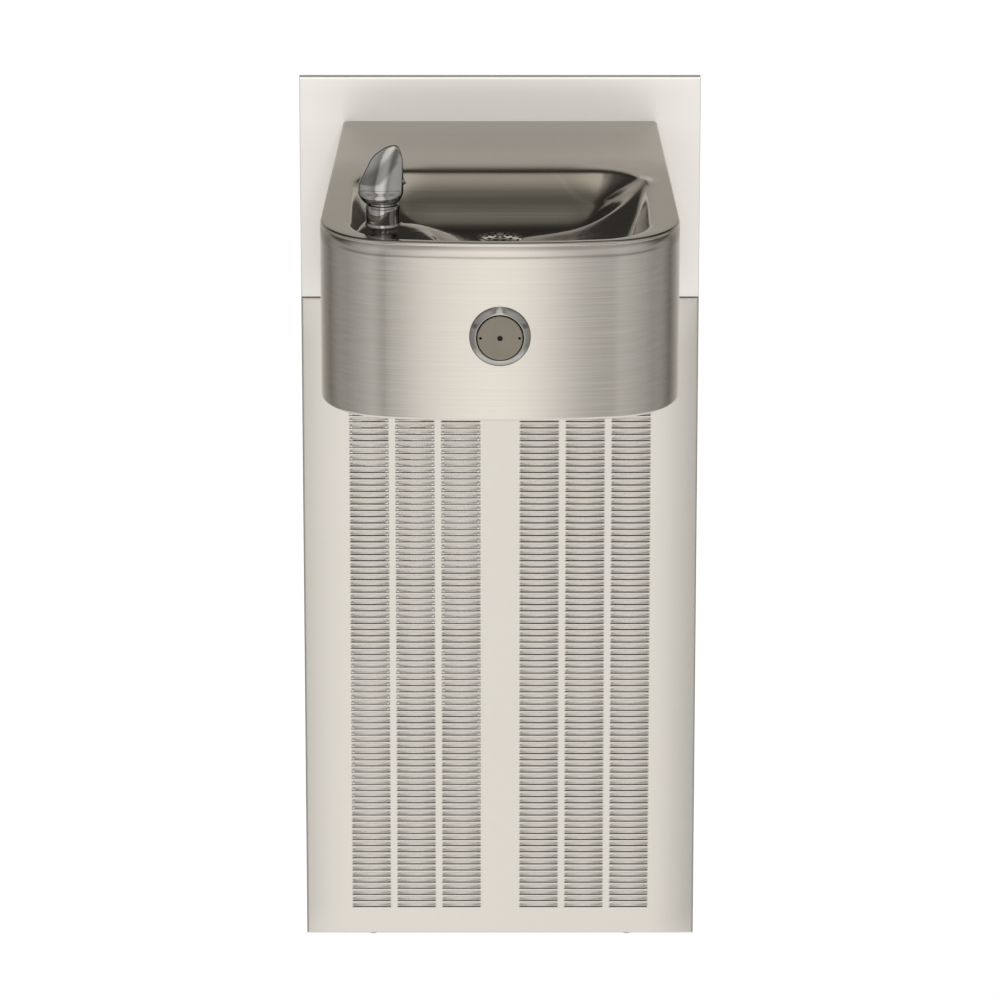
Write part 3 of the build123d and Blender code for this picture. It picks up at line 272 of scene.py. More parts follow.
def spangle(name):
    """Zinc-coated sheet with its crystal pattern."""
    material, tree, shader, coords = new_material(name)
    cells = tree.nodes.new("ShaderNodeTexVoronoi")
    cells.inputs["Scale"].default_value = 120.0
    tree.links.new(coords.outputs["Object"], cells.inputs["Vector"])
    channels = tree.nodes.new("ShaderNodeSeparateColor")
    tree.links.new(cells.outputs["Color"], channels.inputs["Color"])
    value = channels.outputs["Red"]
    zinc = blend_colours(tree, value, (0.42, 0.44, 0.46), (0.60, 0.62, 0.64))
    tree.links.new(zinc, shader.inputs["Base Color"])
    tree.links.new(remap(tree, value, 0.32, 0.52, (0, 1)), shader.inputs["Roughness"])
    shader.inputs["Metallic"].default_value = 1.0
    bump(tree, value, shader, 0.05, 0.0003)
    return material


MATERIALS = {
    "satin_stainless": brushed(
        "satin_stainless", (0.68, 0.65, 0.60), (0.89, 0.855, 0.80), (0.15, 0.22), (2, 60, 700), 0.03),
    "panel_stainless": brushed(
        "panel_stainless", (0.76, 0.735, 0.69), (0.81, 0.785, 0.74), (0.24, 0.25), (90, 90, 90), 0.0),
}
PLAIN_FINISHES = {  # dark tone, light tone, roughness, metallic, grain scale, bump, coat
    "polished_chrome": ((0.54, 0.54, 0.52), (0.60, 0.60, 0.58), (0.02, 0.04), 1.0, 30, 0.0, 0.0),
    "zinc_fastener": ((0.55, 0.56, 0.55), (0.68, 0.68, 0.66), (0.25, 0.4), 1.0, 90, 0.05, 0.0),
    "stainless_fastener": ((0.60, 0.60, 0.58), (0.72, 0.72, 0.70), (0.22, 0.36), 1.0, 90, 0.05, 0.0),
    "brass": ((0.60, 0.43, 0.18), (0.76, 0.58, 0.28), (0.24, 0.38), 1.0, 60, 0.05, 0.0),
    "copper": ((0.58, 0.26, 0.15), (0.76, 0.40, 0.26), (0.22, 0.40), 1.0, 45, 0.05, 0.0),
    "rubber": ((0.018, 0.018, 0.018), (0.035, 0.035, 0.035), (0.55, 0.75), 0.0, 60, 0.2, 0.0),
    "black_enamel": ((0.012, 0.012, 0.014), (0.028, 0.028, 0.03), (0.18, 0.30), 0.0, 25, 0.05, 0.5),
    "fin_aluminium": ((0.66, 0.67, 0.68), (0.78, 0.79, 0.80), (0.30, 0.45), 1.0, 60, 0.05, 0.0),
    "grey_paint": ((0.27, 0.28, 0.30), (0.34, 0.35, 0.37), (0.45, 0.60), 0.0, 30, 0.25, 0.0),
    "foam_jacket": ((0.045, 0.048, 0.06), (0.075, 0.08, 0.095), (0.75, 0.9), 0.0, 35, 0.6, 0.0),
    "black_plastic": ((0.018, 0.018, 0.02), (0.035, 0.035, 0.04), (0.38, 0.5), 0.0, 50, 0.15, 0.0),
    "white_plastic": ((0.72, 0.72, 0.68), (0.80, 0.80, 0.77), (0.38, 0.5), 0.0, 50, 0.1, 0.0),
    "blue_plastic": ((0.03, 0.11, 0.34), (0.05, 0.15, 0.42), (0.28, 0.4), 0.0, 50, 0.1, 0.0),
    "poly_tube": ((0.72, 0.74, 0.72), (0.80, 0.81, 0.79), (0.22, 0.32), 0.0, 50, 0.05, 0.0),
}
MATERIALS.update({name: plain(name, *finish) for name, finish in PLAIN_FINISHES.items()})
MATERIALS["galvanised"] = spangle("galvanised")


def paint_rim_shade(material, start, end, tone):
    """Painted rim shade: metal whose colour is painted dark where it is seen edge on, for the dark
    reflections at its rims.
    """
    tree = material.node_tree
    base = tree.nodes["Principled BSDF"].inputs["Base Color"]
    facing = base.links[0].from_socket
    weight = tree.nodes.new("ShaderNodeLayerWeight")
    weight.inputs["Blend"].default_value = 0.5
    edge = remap(tree, weight.outputs["Facing"], 0.0, 1.0, (start, end))
    tree.links.new(blend_colours(tree, edge, facing, tone), base)


# Painted rim shade: the dark tone painted onto the steel panels' colour where they are seen edge on.
STEEL_RIM_PAINTED_SHADE = (0.20, 0.19, 0.17)
# Painted rim shade, as dark reflections: near black on the chrome, the steel tone on the lower panel.
paint_rim_shade(MATERIALS["polished_chrome"], 0.34, 0.68, (0.04, 0.04, 0.036))
paint_rim_shade(MATERIALS["panel_stainless"], 0.55, 0.85, STEEL_RIM_PAINTED_SHADE)
FINE_GRAIN = (3, 60, 900)
UPPER_STAINLESS = brushed(
    "upper_stainless", (0.80, 0.775, 0.745), (0.86, 0.835, 0.80), (0.36, 0.46), FINE_GRAIN, 0.01)
UPPER_STAINLESS.node_tree.nodes["Principled BSDF"].inputs["Metallic"].default_value = 0.25
# The upper plate gets the same painted rim shade at its edges.
paint_rim_shade(UPPER_STAINLESS, 0.45, 0.75, STEEL_RIM_PAINTED_SHADE)
# The basin's steel has its colour painted dark on the flat deck, as painted shade for the dim reflections it
# shows.
BASIN_STEEL_PAINTED_SHADE = brushed(
    "basin_steel_painted_shade", (0.26, 0.245, 0.21), (0.38, 0.355, 0.31), (0.13, 0.18), FINE_GRAIN, 0.01)
DRAIN_SHADE = plain("drain_shade", (0.03, 0.03, 0.03), (0.05, 0.05, 0.05), (0.4, 0.6), 1.0, 60, 0.05)
# The push button's steel is painted dark, as painted shade for the dim reflection on its face.
BUTTON_STEEL_PAINTED_SHADE = brushed(
    "button_steel_painted_shade", (0.24, 0.22, 0.18), (0.30, 0.275, 0.23), (0.22, 0.32), (60, 60, 60), 0.02)
STEM_SHADE = plain("stem_shade", (0.012, 0.012, 0.012), (0.02, 0.02, 0.02), (0.5, 0.7), 0.0, 60, 0.05)


def wear(made, material, slot, body, *nodes):
    """Gives a piece its material, looked up by slot when none is given, puts it under its body and hides the
    CAD nodes it stands for.
    """
    made.data.materials.clear()
    made.data.materials.append(material if material is not None else MATERIALS[slot])
    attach(made, body)
    if nodes:
        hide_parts(*nodes)
    return made


SPECIAL = {"push_button": BUTTON_STEEL_PAINTED_SHADE, "valve_stem": STEM_SHADE, "drain_body": DRAIN_SHADE,
           "strainer": MATERIALS["satin_stainless"]}
slots = {part["node"]: part["material_slot"] for part in frame["record"]["subparts"]}
for node_name, node_object in frame["nodes"].items():
    node_object.data.materials.clear()
    node_object.data.materials.append(SPECIAL.get(node_name, MATERIALS[slots[node_name]]))

# ---- Folded front panels ----------------------------------------------------------------
BEND = 2.4
PANEL_SHEET = 1.2
EDGE_LINES = np.array([0.0, 0.35, 0.8, 1.4, BEND])  # grid lines across the folded edge


def bend_drop(distance):
    """How far the folded edge falls back at this distance in from the panel's outline."""
    d = np.clip(distance, 0, BEND)
    return BEND - np.sqrt(BEND**2 - (BEND - d) ** 2)


def folded_sheet(name, z_low, z_high, x_lines, z_lines, raise_field=None, openings=None):
    """A sheet panel with mitred rolled edges, from grid lines inside the outline."""
    xs = np.unique(np.round(np.concatenate(
        [-PANEL_HALF + EDGE_LINES, x_lines, PANEL_HALF - EDGE_LINES]), 4))
    zs = np.unique(np.round(np.concatenate([z_low + EDGE_LINES, z_lines, z_high - EDGE_LINES]), 4))
    gx, gz = np.meshgrid(xs, zs)
    inward = np.minimum(np.minimum(gx + PANEL_HALF, PANEL_HALF - gx), np.minimum(gz - z_low, z_high - gz))
    gy = PANEL_FACE + bend_drop(inward)
    if raise_field is not None:
        gy = gy - raise_field(gx, gz)
    nx, nz = len(xs), len(zs)
    points = np.stack([gx, gy, gz], -1).reshape(-1, 3)
    keep = np.ones((nz - 1, nx - 1), bool)
    if openings is not None:
        keep = ~openings(xs, zs)
    faces = []
    for i in range(nz - 1):
        for j in range(nx - 1):
            if keep[i, j]:
                faces.append((i * nx + j, i * nx + j + 1, (i + 1) * nx + j + 1, (i + 1) * nx + j))
    loop = list(range(nx))
    loop += [i * nx + nx - 1 for i in range(1, nz)]
    loop += [(nz - 1) * nx + j for j in range(nx - 2, -1, -1)]
    loop += [i * nx for i in range(nz - 2, 0, -1)]
    start = len(points)
    back = points[loop].copy()
    back[:, 1] = 0.0
    points = np.concatenate([points, back])
    count = len(loop)
    for j in range(count):
        k = (j + 1) % count
        faces.append((loop[k], loop[j], start + j, start + k))
    return thicken(mesh_object(name, points, faces), PANEL_SHEET)


LOUVER_LENGTH = 45.9
LOUVER_PITCH = 7.74
LOUVER_ROWS = 90
LOUVER_LIP = 35.3  # height of the lowest lip
BANK_MIDDLE = 98.6  # two banks of three columns each
COLUMN_PITCH = 53.1
LOUVER_COLUMNS = [side * BANK_MIDDLE + step * COLUMN_PITCH for side in (-1, 1) for step in (-1, 0, 1)]
LOUVER_RAISE = 1.7
LOUVER_FALL = 4.8  # height above the lip at which the hood has come down to the sheet
END_SLOPE = 3.6
END_TUCK = 0.9  # the hood starts this far in from its end at the lip
TUCK_FALL = 2.4
SLIT = 2.2
SLIT_END = 1.5  # the slit is this much shorter than the louver at each end
TURN_IN = 1.8  # the sheet below each slit is turned inwards this far
TURN_EDGE = 1.35  # distance of that turned edge below the lip
TURN_SLOPE = 2.4
LOUVER_LINES = np.array([-SLIT - 0.5, -SLIT, -TURN_EDGE, 0.0, 0.8, 2.0, 3.4, LOUVER_FALL])
END_LINES = np.array([-0.7, 0.0, SLIT_END, 4.2])


def louver_raise(x, z):
    """Hood height of the louvers: full at the lip, falling to nothing above it and at the ends.

    Below the lip it is negative, where the sheet is turned inwards.
    """
    row = np.floor((z - LOUVER_LIP + SLIT * 0.5) / LOUVER_PITCH)
    above = z - LOUVER_LIP - row * LOUVER_PITCH
    inside = (row >= 0) & (row < LOUVER_ROWS) & (above > -0.01)
    nearest = np.min([np.abs(x - c) for c in LOUVER_COLUMNS], 0)
    from_end = LOUVER_LENGTH / 2 - nearest
    start = END_TUCK * np.clip(1 - above / TUCK_FALL, 0, 1) ** 2
    ends = smoothstep((from_end - start) / END_SLOPE)
    hood_height = np.where(inside, LOUVER_RAISE * (1 - smoothstep(above / LOUVER_FALL)) * ends, 0.0)
    row_under = np.floor((z - LOUVER_LIP + SLIT + 0.01) / LOUVER_PITCH)
    below = LOUVER_LIP + row_under * LOUVER_PITCH - z
    in_turn = (row_under >= 0) & (row_under < LOUVER_ROWS) & (below > 0.02)
    turn = TURN_IN * np.clip((SLIT - below) / (SLIT - TURN_EDGE), 0, 1) * smoothstep(from_end / TURN_SLOPE)
    return hood_height - np.where(in_turn, turn, 0.0)


def louver_openings(xs, zs):
    """Grid cells of the open slits under the lips."""
    mid_x, mid_z = (xs[1:] + xs[:-1]) / 2, (zs[1:] + zs[:-1]) / 2
    nearest = np.min([np.abs(mid_x - c) for c in LOUVER_COLUMNS], 0)
    row = np.floor((mid_z - LOUVER_LIP + SLIT + 0.01) / LOUVER_PITCH)
    below = mid_z - LOUVER_LIP - row * LOUVER_PITCH
    in_slit = (row >= 0) & (row < LOUVER_ROWS) & (below < 0) & (below > -TURN_EDGE)
    return in_slit[:, None] & (nearest < LOUVER_LENGTH / 2 - SLIT_END)[None, :]


louver_x = np.concatenate([
    np.concatenate([c - LOUVER_LENGTH / 2 + END_LINES, c + LOUVER_LENGTH / 2 - END_LINES])
    for c in LOUVER_COLUMNS])
louver_z = np.concatenate([LOUVER_LIP + row * LOUVER_PITCH + LOUVER_LINES for row in range(LOUVER_ROWS)])
louvers = folded_sheet("louver_sheet", louver_low[2], louver_high[2], louver_x, louver_z,
                       louver_raise, louver_openings)
wear(louvers, None, "panel_stainless", "wall_unit", "louvered_access_panel")

upper_plate = folded_sheet(
    "upper_plate_sheet", plate_low[2], plate_high[2],
    np.linspace(-200, 200, 9), np.linspace(plate_low[2] + 20, plate_high[2] - 20, 6))
wear(upper_plate, UPPER_STAINLESS, "panel_stainless", "wall_unit", "upper_back_plate")

# ---- Frame uprights: bent sheet with a rounded corner, clipped top and stud holes -------
upright_low, upright_high = corner_box("frame_uprights")
FRAME_SHEET = 2.0
FRAME_FLANGE = 25.0
BEND_RADIUS = 3.0
CLIP = 30.0  # drop of the clipped top, from 30 mm behind the front to the back
STUD_HOLES = [(depth, height) for height in (150.0, 900.0) for depth in (25.0, 65.0)]
HOLE_HALF = 3.5
UPRIGHT_LEVELS = [60, 150 - HOLE_HALF, 150 + HOLE_HALF, *np.linspace(200, 860, 12),
                  900 - HOLE_HALF, 900 + HOLE_HALF, 950, 985]


def upright_skin(side):
    """The middle line of one bent upright, laid out as a grid: along the bend, then up."""
    outer = upright_high[0] - FRAME_SHEET / 2
    front = FRAME_SHEET / 2
    bend_x = outer - BEND_RADIUS
    path = [(outer - FRAME_FLANGE + 1, front), (outer - 12, front), (bend_x, front)]
    for k in range(1, 6):
        a = math.pi / 2 * k / 5
        path.append((bend_x + BEND_RADIUS * math.sin(a), front + BEND_RADIUS * (1 - math.cos(a))))
    path += [(outer, y) for y in (12.0, 21.5, 28.5, 45.0, 61.5, 68.5, 80.0, upright_high[1])]
    zs = [upright_low[2] + 1, *UPRIGHT_LEVELS, upright_high[2] - 1]
    points, faces = [], []
    for z in zs:
        for x, y in path:
            top = upright_high[2] - 1 - CLIP * max(0.0, (y - 30.0) / 60.0)
            points.append((side * x, y, min(z, top)))
    n = len(path)
    for i in range(len(zs) - 1):
        for j in range(n - 1):
            mid_y, mid_z = (path[j][1] + path[j + 1][1]) / 2, (zs[i] + zs[i + 1]) / 2
            if path[j][0] == outer and any(abs(mid_y - y) < 1 and abs(mid_z - z) < 1 for y, z in STUD_HOLES):
                continue
            quad = (i * n + j, i * n + j + 1, (i + 1) * n + j + 1, (i + 1) * n + j)
            faces.append(quad if side > 0 else quad[::-1])
    return points, faces


points, faces = upright_skin(1)
more_points, more_faces = upright_skin(-1)
faces += [tuple(v + len(points) for v in face) for face in more_faces]
uprights = thicken(mesh_object("frame_upright_pair", points + more_points, faces, False), FRAME_SHEET, 0.0)
wear(uprights, None, "galvanised", "wall_unit", "frame_uprights")

# ---- Basin outlines in plan ----------------------------------------------------------------
BACK_HALF = 178.0
FRONT_HALF = 197.0
BASIN_BACK = PANEL_FACE
BOW = 800.0
FRONT_CORNER = 85.0
BACK_CORNER = 6.0
BASIN_SHEET = 1.2
EDGE_ROLL = 2.2
SKIRT_TOP = DECK - EDGE_ROLL - 0.4
FRONT_STRIP = 11.5  # flat deck between the basin's front and the bowl
BOWL_HALF = 163.0
BOWL_BACK = -221.5
BOWL_FRONT = BASIN_FRONT + FRONT_STRIP
BOWL_DEPTH = 44.0


def bow(x, front, radius):
    """Y of the bowed front at x."""
    return front + radius - math.sqrt(radius**2 - x**2)


def fillet_corner(before, corner, after, radius, steps):
    """Arc points that round the corner between two directions."""
    a = (before - corner) / np.linalg.norm(before - corner)
    b = (after - corner) / np.linalg.norm(after - corner)
    half = math.acos(float(np.clip(a @ b, -1, 1))) / 2
    bisector = (a + b) / np.linalg.norm(a + b)
    centre = corner + bisector * radius / math.sin(half)
    start = corner + a * radius / math.tan(half)
    end = corner + b * radius / math.tan(half)
    angle_a = math.atan2(*(start - centre)[::-1])
    angle_b = math.atan2(*(end - centre)[::-1])
    turn = (angle_b - angle_a + math.pi) % (2 * math.pi) - math.pi
    angles = angle_a + turn * np.linspace(0, 1, steps + 1)
    return np.stack([centre[0] + radius * np.cos(angles), centre[1] + radius * np.sin(angles)], -1)


def bowed_corner(back, front_point, bow_centre, bow_radius, radius, steps):
    """Arc points of the corner circle that touches the side line and the bow from inside."""
    along = (front_point - back) / np.linalg.norm(front_point - back)
    inward = np.array([along[1], -along[0]])
    offset = back + inward * radius - bow_centre
    b = offset @ along
    travel = -b + math.sqrt(b * b - offset @ offset + (bow_radius - radius) ** 2)
    centre = back + inward * radius + along * travel
    out_to_bow = (centre - bow_centre) / np.linalg.norm(centre - bow_centre)
    angle_side = math.atan2(-inward[1], -inward[0])
    angle_bow = math.atan2(out_to_bow[1], out_to_bow[0])
    turn = (angle_bow - angle_side + math.pi) % (2 * math.pi) - math.pi
    angles = angle_side + turn * np.linspace(0, 1, steps + 1)
    return np.stack([centre[0] + radius * np.cos(angles), centre[1] + radius * np.sin(angles)], -1)


def plan_outline(back_half, front_half, y_back, front, radius, front_corner, back_corner, spacing=5.0):
    """A closed plan outline (clockwise from the back middle) with its outward normals."""
    side_front = bow(front_half, front, radius)
    corner_back = np.array([back_half, y_back])
    corner_front = np.array([front_half, side_front])
    back_arc = fillet_corner(np.array([0.0, y_back]), corner_back, corner_front, back_corner, 8)
    bow_centre = np.array([0.0, front + radius])
    front_arc = bowed_corner(corner_back, corner_front, bow_centre, radius, front_corner, 36)
    bow_start = front_arc[-1]
    xs = np.linspace(bow_start[0], 0, max(4, int(bow_start[0] / spacing)) + 1)
    bowed = np.array([(x, bow(x, front, radius)) for x in xs])
    back_line = np.array([0.0, y_back]) + np.linspace(0, 1, int(back_half / 9))[:-1, None] * (
        back_arc[0] - np.array([0.0, y_back]))
    side = back_arc[-1] + np.linspace(0, 1, int((y_back - side_front) / 7))[1:-1, None] * (
        front_arc[0] - back_arc[-1])
    right = np.concatenate([back_line, back_arc, side, front_arc, bowed[1:]])
    left = right[::-1][1:-1] * (-1, 1)
    outline = np.concatenate([right, left])
    tangent = np.roll(outline, -1, 0) - np.roll(outline, 1, 0)
    tangent /= np.linalg.norm(tangent, axis=1)[:, None]
    normal = np.stack([-tangent[:, 1], tangent[:, 0]], -1)
    outward = normal * np.sign((normal * (outline - outline.mean(0))).sum(1))[:, None]
    return outline, outward


basin_outline, basin_normal = plan_outline(
    BACK_HALF, FRONT_HALF, BASIN_BACK, BASIN_FRONT, BOW, FRONT_CORNER, BACK_CORNER)
bowl_outline, _ = plan_outline(
    BOWL_HALF, BOWL_HALF, BOWL_BACK, BOWL_FRONT, BOW - FRONT_STRIP, 62.0, 60.0, 3.0)
N = len(basin_outline)


def ray_to_outline(origin, direction, outline):
    """Distance from origin along direction to a closed outline."""
    a = outline - origin
    b = np.roll(outline, -1, 0) - origin
    e = b - a
    cross = direction[0] * e[:, 1] - direction[1] * e[:, 0]
    cross = np.where(np.abs(cross) < 1e-9, 1e-9, cross)
    t = (a[:, 0] * e[:, 1] - a[:, 1] * e[:, 0]) / cross
    s = (a[:, 0] * direction[1] - a[:, 1] * direction[0]) / cross
    hit = (t > 0) & (s >= -1e-6) & (s <= 1 + 1e-6)
    return t[hit].min()


def ray_side(p):
    """1 inside the bowl's rim, -1 outside."""
    v = p - DRAIN
    length = np.linalg.norm(v)
    if length < 1e-6:
        return 1.0
    return 1.0 if length <= ray_to_outline(DRAIN, v / length, bowl_outline) else -1.0


def polyline_distance(points, line, closed=False):
    """Distance to a polyline and the nearest position along it (segment index plus fraction)."""
    ends = np.roll(line, -1, 0) if closed else line[1:]
    starts = line if closed else line[:-1]
    best = np.full(len(points), 1e9)
    where = np.zeros(len(points))
    for i, (a, b) in enumerate(zip(starts, ends)):
        ab = b - a
        t = np.clip(((points - a) @ ab) / (ab @ ab), 0, 1)
        d = np.linalg.norm(points - a - t[:, None] * ab, axis=1)
        closer = d < best
        best = np.where(closer, d, best)
        where = np.where(closer, i + t, where)
    return best, where


# Crests in the bowl: plan position and depth below the deck, from the rim to the drain.
RIGHT_CREST = np.array([(168, -262, -2), (164, -269.7, 0), (151, -300.8, 8), (124.2, -325.3, 20),
                        (93.8, -334.6, 32), (63.1, -336.2, 39), (30, -342, 43)], float)
LEFT_CREST = np.array([(-124, -426, 1), (-106.7, -423.8, 2), (-91.7, -408.2, 6), (-72.3, -398.3, 14),
                       (-52.9, -382, 24), (-26.8, -360.2, 37)], float)


def chaikin(line, rounds=3):
    """The polyline with its corners cut, its ends kept."""
    for _ in range(rounds):
        cut = [line[0]]
        for a, b in zip(line, line[1:]):
            cut += [0.75 * a + 0.25 * b, 0.25 * a + 0.75 * b]
        line = np.array(cut + [line[-1]])
    return line


CRESTS = (  # line, slope towards the front, slope towards the back
    (chaikin(RIGHT_CREST), 0.12, 0.52),
    (chaikin(LEFT_CREST), 0.30, 0.62),
)
CREST_ROUND = 9.0  # how broadly a crest's top is rounded
PAD_DEPTH = 2.0
PAD_FLAT = 21.5
PAD_SLOPE = 1.5
RIM_SOFT = 2.2
FRONT_WALL = 46.0  # plan width of the bowl's wall at the front, and what is added at the back
BACK_WALL_EXTRA = 76.0
WALL_CURVE = 1.9
RIM_REACH = 8.0  # the pressing has faded out this far outside the rim


def bowl_depth(x, y):
    """Depth of the pressed bowl below the deck."""
    points = np.stack([x, y], -1)
    away, _ = polyline_distance(points, bowl_outline, closed=True)
    inside = np.array([ray_side(p) for p in points])
    d = away * inside
    soft = 0.5 * (d + np.sqrt(d * d + RIM_SOFT**2))
    backness = smoothstep((y + 350) / 90) * (1 - 0.35 * smoothstep((np.abs(x) - 70) / 70))
    width = FRONT_WALL + BACK_WALL_EXTRA * backness
    wall = BOWL_DEPTH * (1 - (1 - np.clip(soft / width, 0, 1)) ** WALL_CURVE)
    height = -wall
    for crest, front_slope, back_slope in CRESTS:
        q, s = polyline_distance(points, crest[:, :2])
        k = np.arange(len(crest))
        crest_depth = np.interp(s, k, crest[:, 2])
        crest_y = np.interp(s, k, crest[:, 1])
        slope = front_slope + (back_slope - front_slope) * smoothstep((y - crest_y + 8) / 16)
        tent = -crest_depth - slope * (np.sqrt(q * q + CREST_ROUND**2) - CREST_ROUND)
        height = soft_max(height, tent, 5.0)
    r = np.hypot(x - HOOD_X, y - HOOD_Y)
    pad = -PAD_DEPTH - PAD_SLOPE * np.maximum(r - PAD_FLAT, 0)
    height = soft_max(height, pad, 1.6)
    return np.where(d > -RIM_REACH, -height, 0.0) * smoothstep((d + RIM_REACH) / RIM_REACH)


# The basin top: the rolled edge, then rings from the deck's edge over the bowl's rim to the drain.
DRAIN_HOLE = 22.6
RIM_GAPS = (0.0, 1.2, 2.6, 4.4, 6.8)  # close rings just inside the rim
WALL_START = 9.5
WALL_RINGS = 44
rings = []
for k in range(7):
    a = math.pi / 2 * k / 6
    ring = basin_outline - basin_normal * EDGE_ROLL * (1 - math.cos(a))
    rings.append(np.column_stack([ring, np.full(N, DECK - EDGE_ROLL + EDGE_ROLL * math.sin(a))]))
rings.insert(0, np.column_stack([basin_outline, np.full(N, SKIRT_TOP)]))
deck_edge = rings[-1][:, :2]
directions = (basin_outline - DRAIN) / np.linalg.norm(basin_outline - DRAIN, axis=1)[:, None]
reach = np.array([ray_to_outline(DRAIN, v, bowl_outline) for v in directions])
rim = DRAIN + directions * reach[:, None]
strip = np.linalg.norm(deck_edge - rim, axis=1)
outside = np.minimum(1.2, 0.2 * strip)
lip_ring = DRAIN + directions * (reach + outside)[:, None]
plan_rings = [deck_edge + (lip_ring - deck_edge) * t for t in (0.3, 0.6, 0.85)]
plan_rings.append(lip_ring)
for gap in RIM_GAPS:
    plan_rings.append(DRAIN + directions * (reach - gap)[:, None])
for t in np.linspace(0, 1, WALL_RINGS) ** 0.92:
    plan_rings.append(DRAIN + directions * ((reach - WALL_START) * (1 - t) + DRAIN_HOLE * t)[:, None])
for ring in plan_rings:
    rings.append(np.column_stack([ring, DECK - bowl_depth(ring[:, 0], ring[:, 1])]))
basin_skin = thicken(
    mesh_object("basin_shell", np.concatenate(rings), ring_faces(len(rings), N)), BASIN_SHEET)

# Painted light and shade: steep and bent metal is painted bright, while the flat deck keeps its dark painted
# shade.
tree = BASIN_STEEL_PAINTED_SHADE.node_tree
facing = tree.nodes.new("ShaderNodeNewGeometry")
facing_parts = tree.nodes.new("ShaderNodeSeparateXYZ")
tree.links.new(facing.outputs["Normal"], facing_parts.inputs["Vector"])
painted_steep_light = remap(tree, facing_parts.outputs["Z"], 1.0, 0.0, (0.55, 0.85))
basin_colour = tree.nodes["Principled BSDF"].inputs["Base Color"]
deck_painted_shade = basin_colour.links[0].from_socket
tree.links.new(blend_colours(tree, painted_steep_light, deck_painted_shade, (0.80, 0.765, 0.71)), basin_colour)
wear(basin_skin, BASIN_STEEL_PAINTED_SHADE, "satin_stainless", "wall_unit", "basin_top")

# ---- Apron: the bowed skirt with its rolled bottom edge ----------------------------------
BOTTOM_ROLL = 3.0
SKIRT_FOOT = APRON_BOTTOM + BOTTOM_ROLL
rings = [np.column_stack([basin_outline, np.full(N, z)])
         for z in np.linspace(SKIRT_TOP - 0.05, SKIRT_FOOT, 12)]
for k in range(1, 6):
    a = math.pi / 2 * k / 5
    ring = basin_outline - basin_normal * BOTTOM_ROLL * (1 - math.cos(a))
    rings.append(np.column_stack([ring, np.full(N, SKIRT_FOOT - BOTTOM_ROLL * math.sin(a))]))
apron_faces = [face[::-1] for face in ring_faces(len(rings), N)]
apron_skin = thicken(mesh_object("apron_skin", np.concatenate(rings), apron_faces), BASIN_SHEET)
wear(apron_skin, None, "satin_stainless", "wall_unit", "apron")

# ---- Bubbler ------------------------------------------------------------------------------------
PAD_TOP = DECK - PAD_DEPTH
HOOD_FOOT = hood_low[2]
SHANK_LOW = base_low[2] - PAD_TOP
NECK = HOOD_FOOT - PAD_TOP
WATERWAY = 5.2
SHANK = 8.0
base_profile = round_profile(
    [(WATERWAY, NECK), (WATERWAY, SHANK_LOW), (SHANK, SHANK_LOW), (SHANK, 0.0), (19.4, 0.0), (19.5, 2.2),
     (18.3, 4.0), (18.5, 20.5), (17.6, NECK - 2.8), (15.0, NECK - 2.4), (15.0, NECK), (WATERWAY, NECK)],
    1.0, 4)
base = lathe("bubbler_foot", base_profile[:-1], (HOOD_X, HOOD_Y, PAD_TOP))
wear(base, None, "polished_chrome", "wall_unit", "bubbler_base")

# The hood: stacked super-ellipse sections, its front shaved by a gently hollow facet.
HOOD_SECTIONS = np.array([  # height, lean, half width, half depth
    (0.0, -1.5, 19.0, 16.6),
    (3.0, -1.7, 21.6, 18.2),
    (9.5, -2.1, 24.6, 19.3),
    (21.0, -1.5, 24.1, 19.3),
    (33.0, 1.3, 21.2, 17.8),
    (46.5, 4.4, 17.6, 14.8),
    (52.5, 6.4, 14.6, 12.8),
    (57.0, 8.6, 10.8, 10.0),
    (60.0, 10.4, 7.6, 7.4),
    (61.8, 11.8, 4.6, 4.6),
    (62.6, 12.5, 2.0, 2.0),
])
HOOD_TALL = HOOD_SECTIONS[-1, 0]
heights = np.concatenate([np.linspace(0, 56, 38), np.linspace(56.8, HOOD_TALL, 9)])
columns = [np.interp(heights, HOOD_SECTIONS[:, 0], HOOD_SECTIONS[:, k]) for k in (1, 2, 3)]
SIDES = 96
SQUARENESS = 2.3  # exponent of the super-ellipse
FACET_FOOT = 7.0  # the facet starts at this height and is full after as much again
points = []
for h, lean, wide, deep in zip(heights, *columns):
    for j in range(SIDES):
        a = 2 * math.pi * j / SIDES
        c, s = math.cos(a), math.sin(a)
        power = 2 / SQUARENESS
        px = lean + wide * math.copysign(abs(c) ** power, c)
        py = deep * math.copysign(abs(s) ** power, s)
        # the facet: a tilted plane that the front is pressed back to
        plane = -11.5 + 0.17 * (h - 30) + 0.0018 * (h - 24) ** 2 + 0.011 * (px - lean) ** 2
        press = soft_max(np.array(py), np.array(plane), 1.2)
        pressed = smoothstep(np.array((h - FACET_FOOT) / FACET_FOOT))
        py = py + (float(press) - py) * float(pressed)
        points.append((HOOD_X + px, HOOD_Y + py, HOOD_FOOT + h))
faces = ring_faces(len(heights), SIDES)
cap(faces, 0, SIDES, flip=True)
cap(faces, (len(heights) - 1) * SIDES, SIDES)
hood = mesh_object("bubbler_hood", points, faces)
wear(hood, None, "polished_chrome", "wall_unit", "bubbler_head")

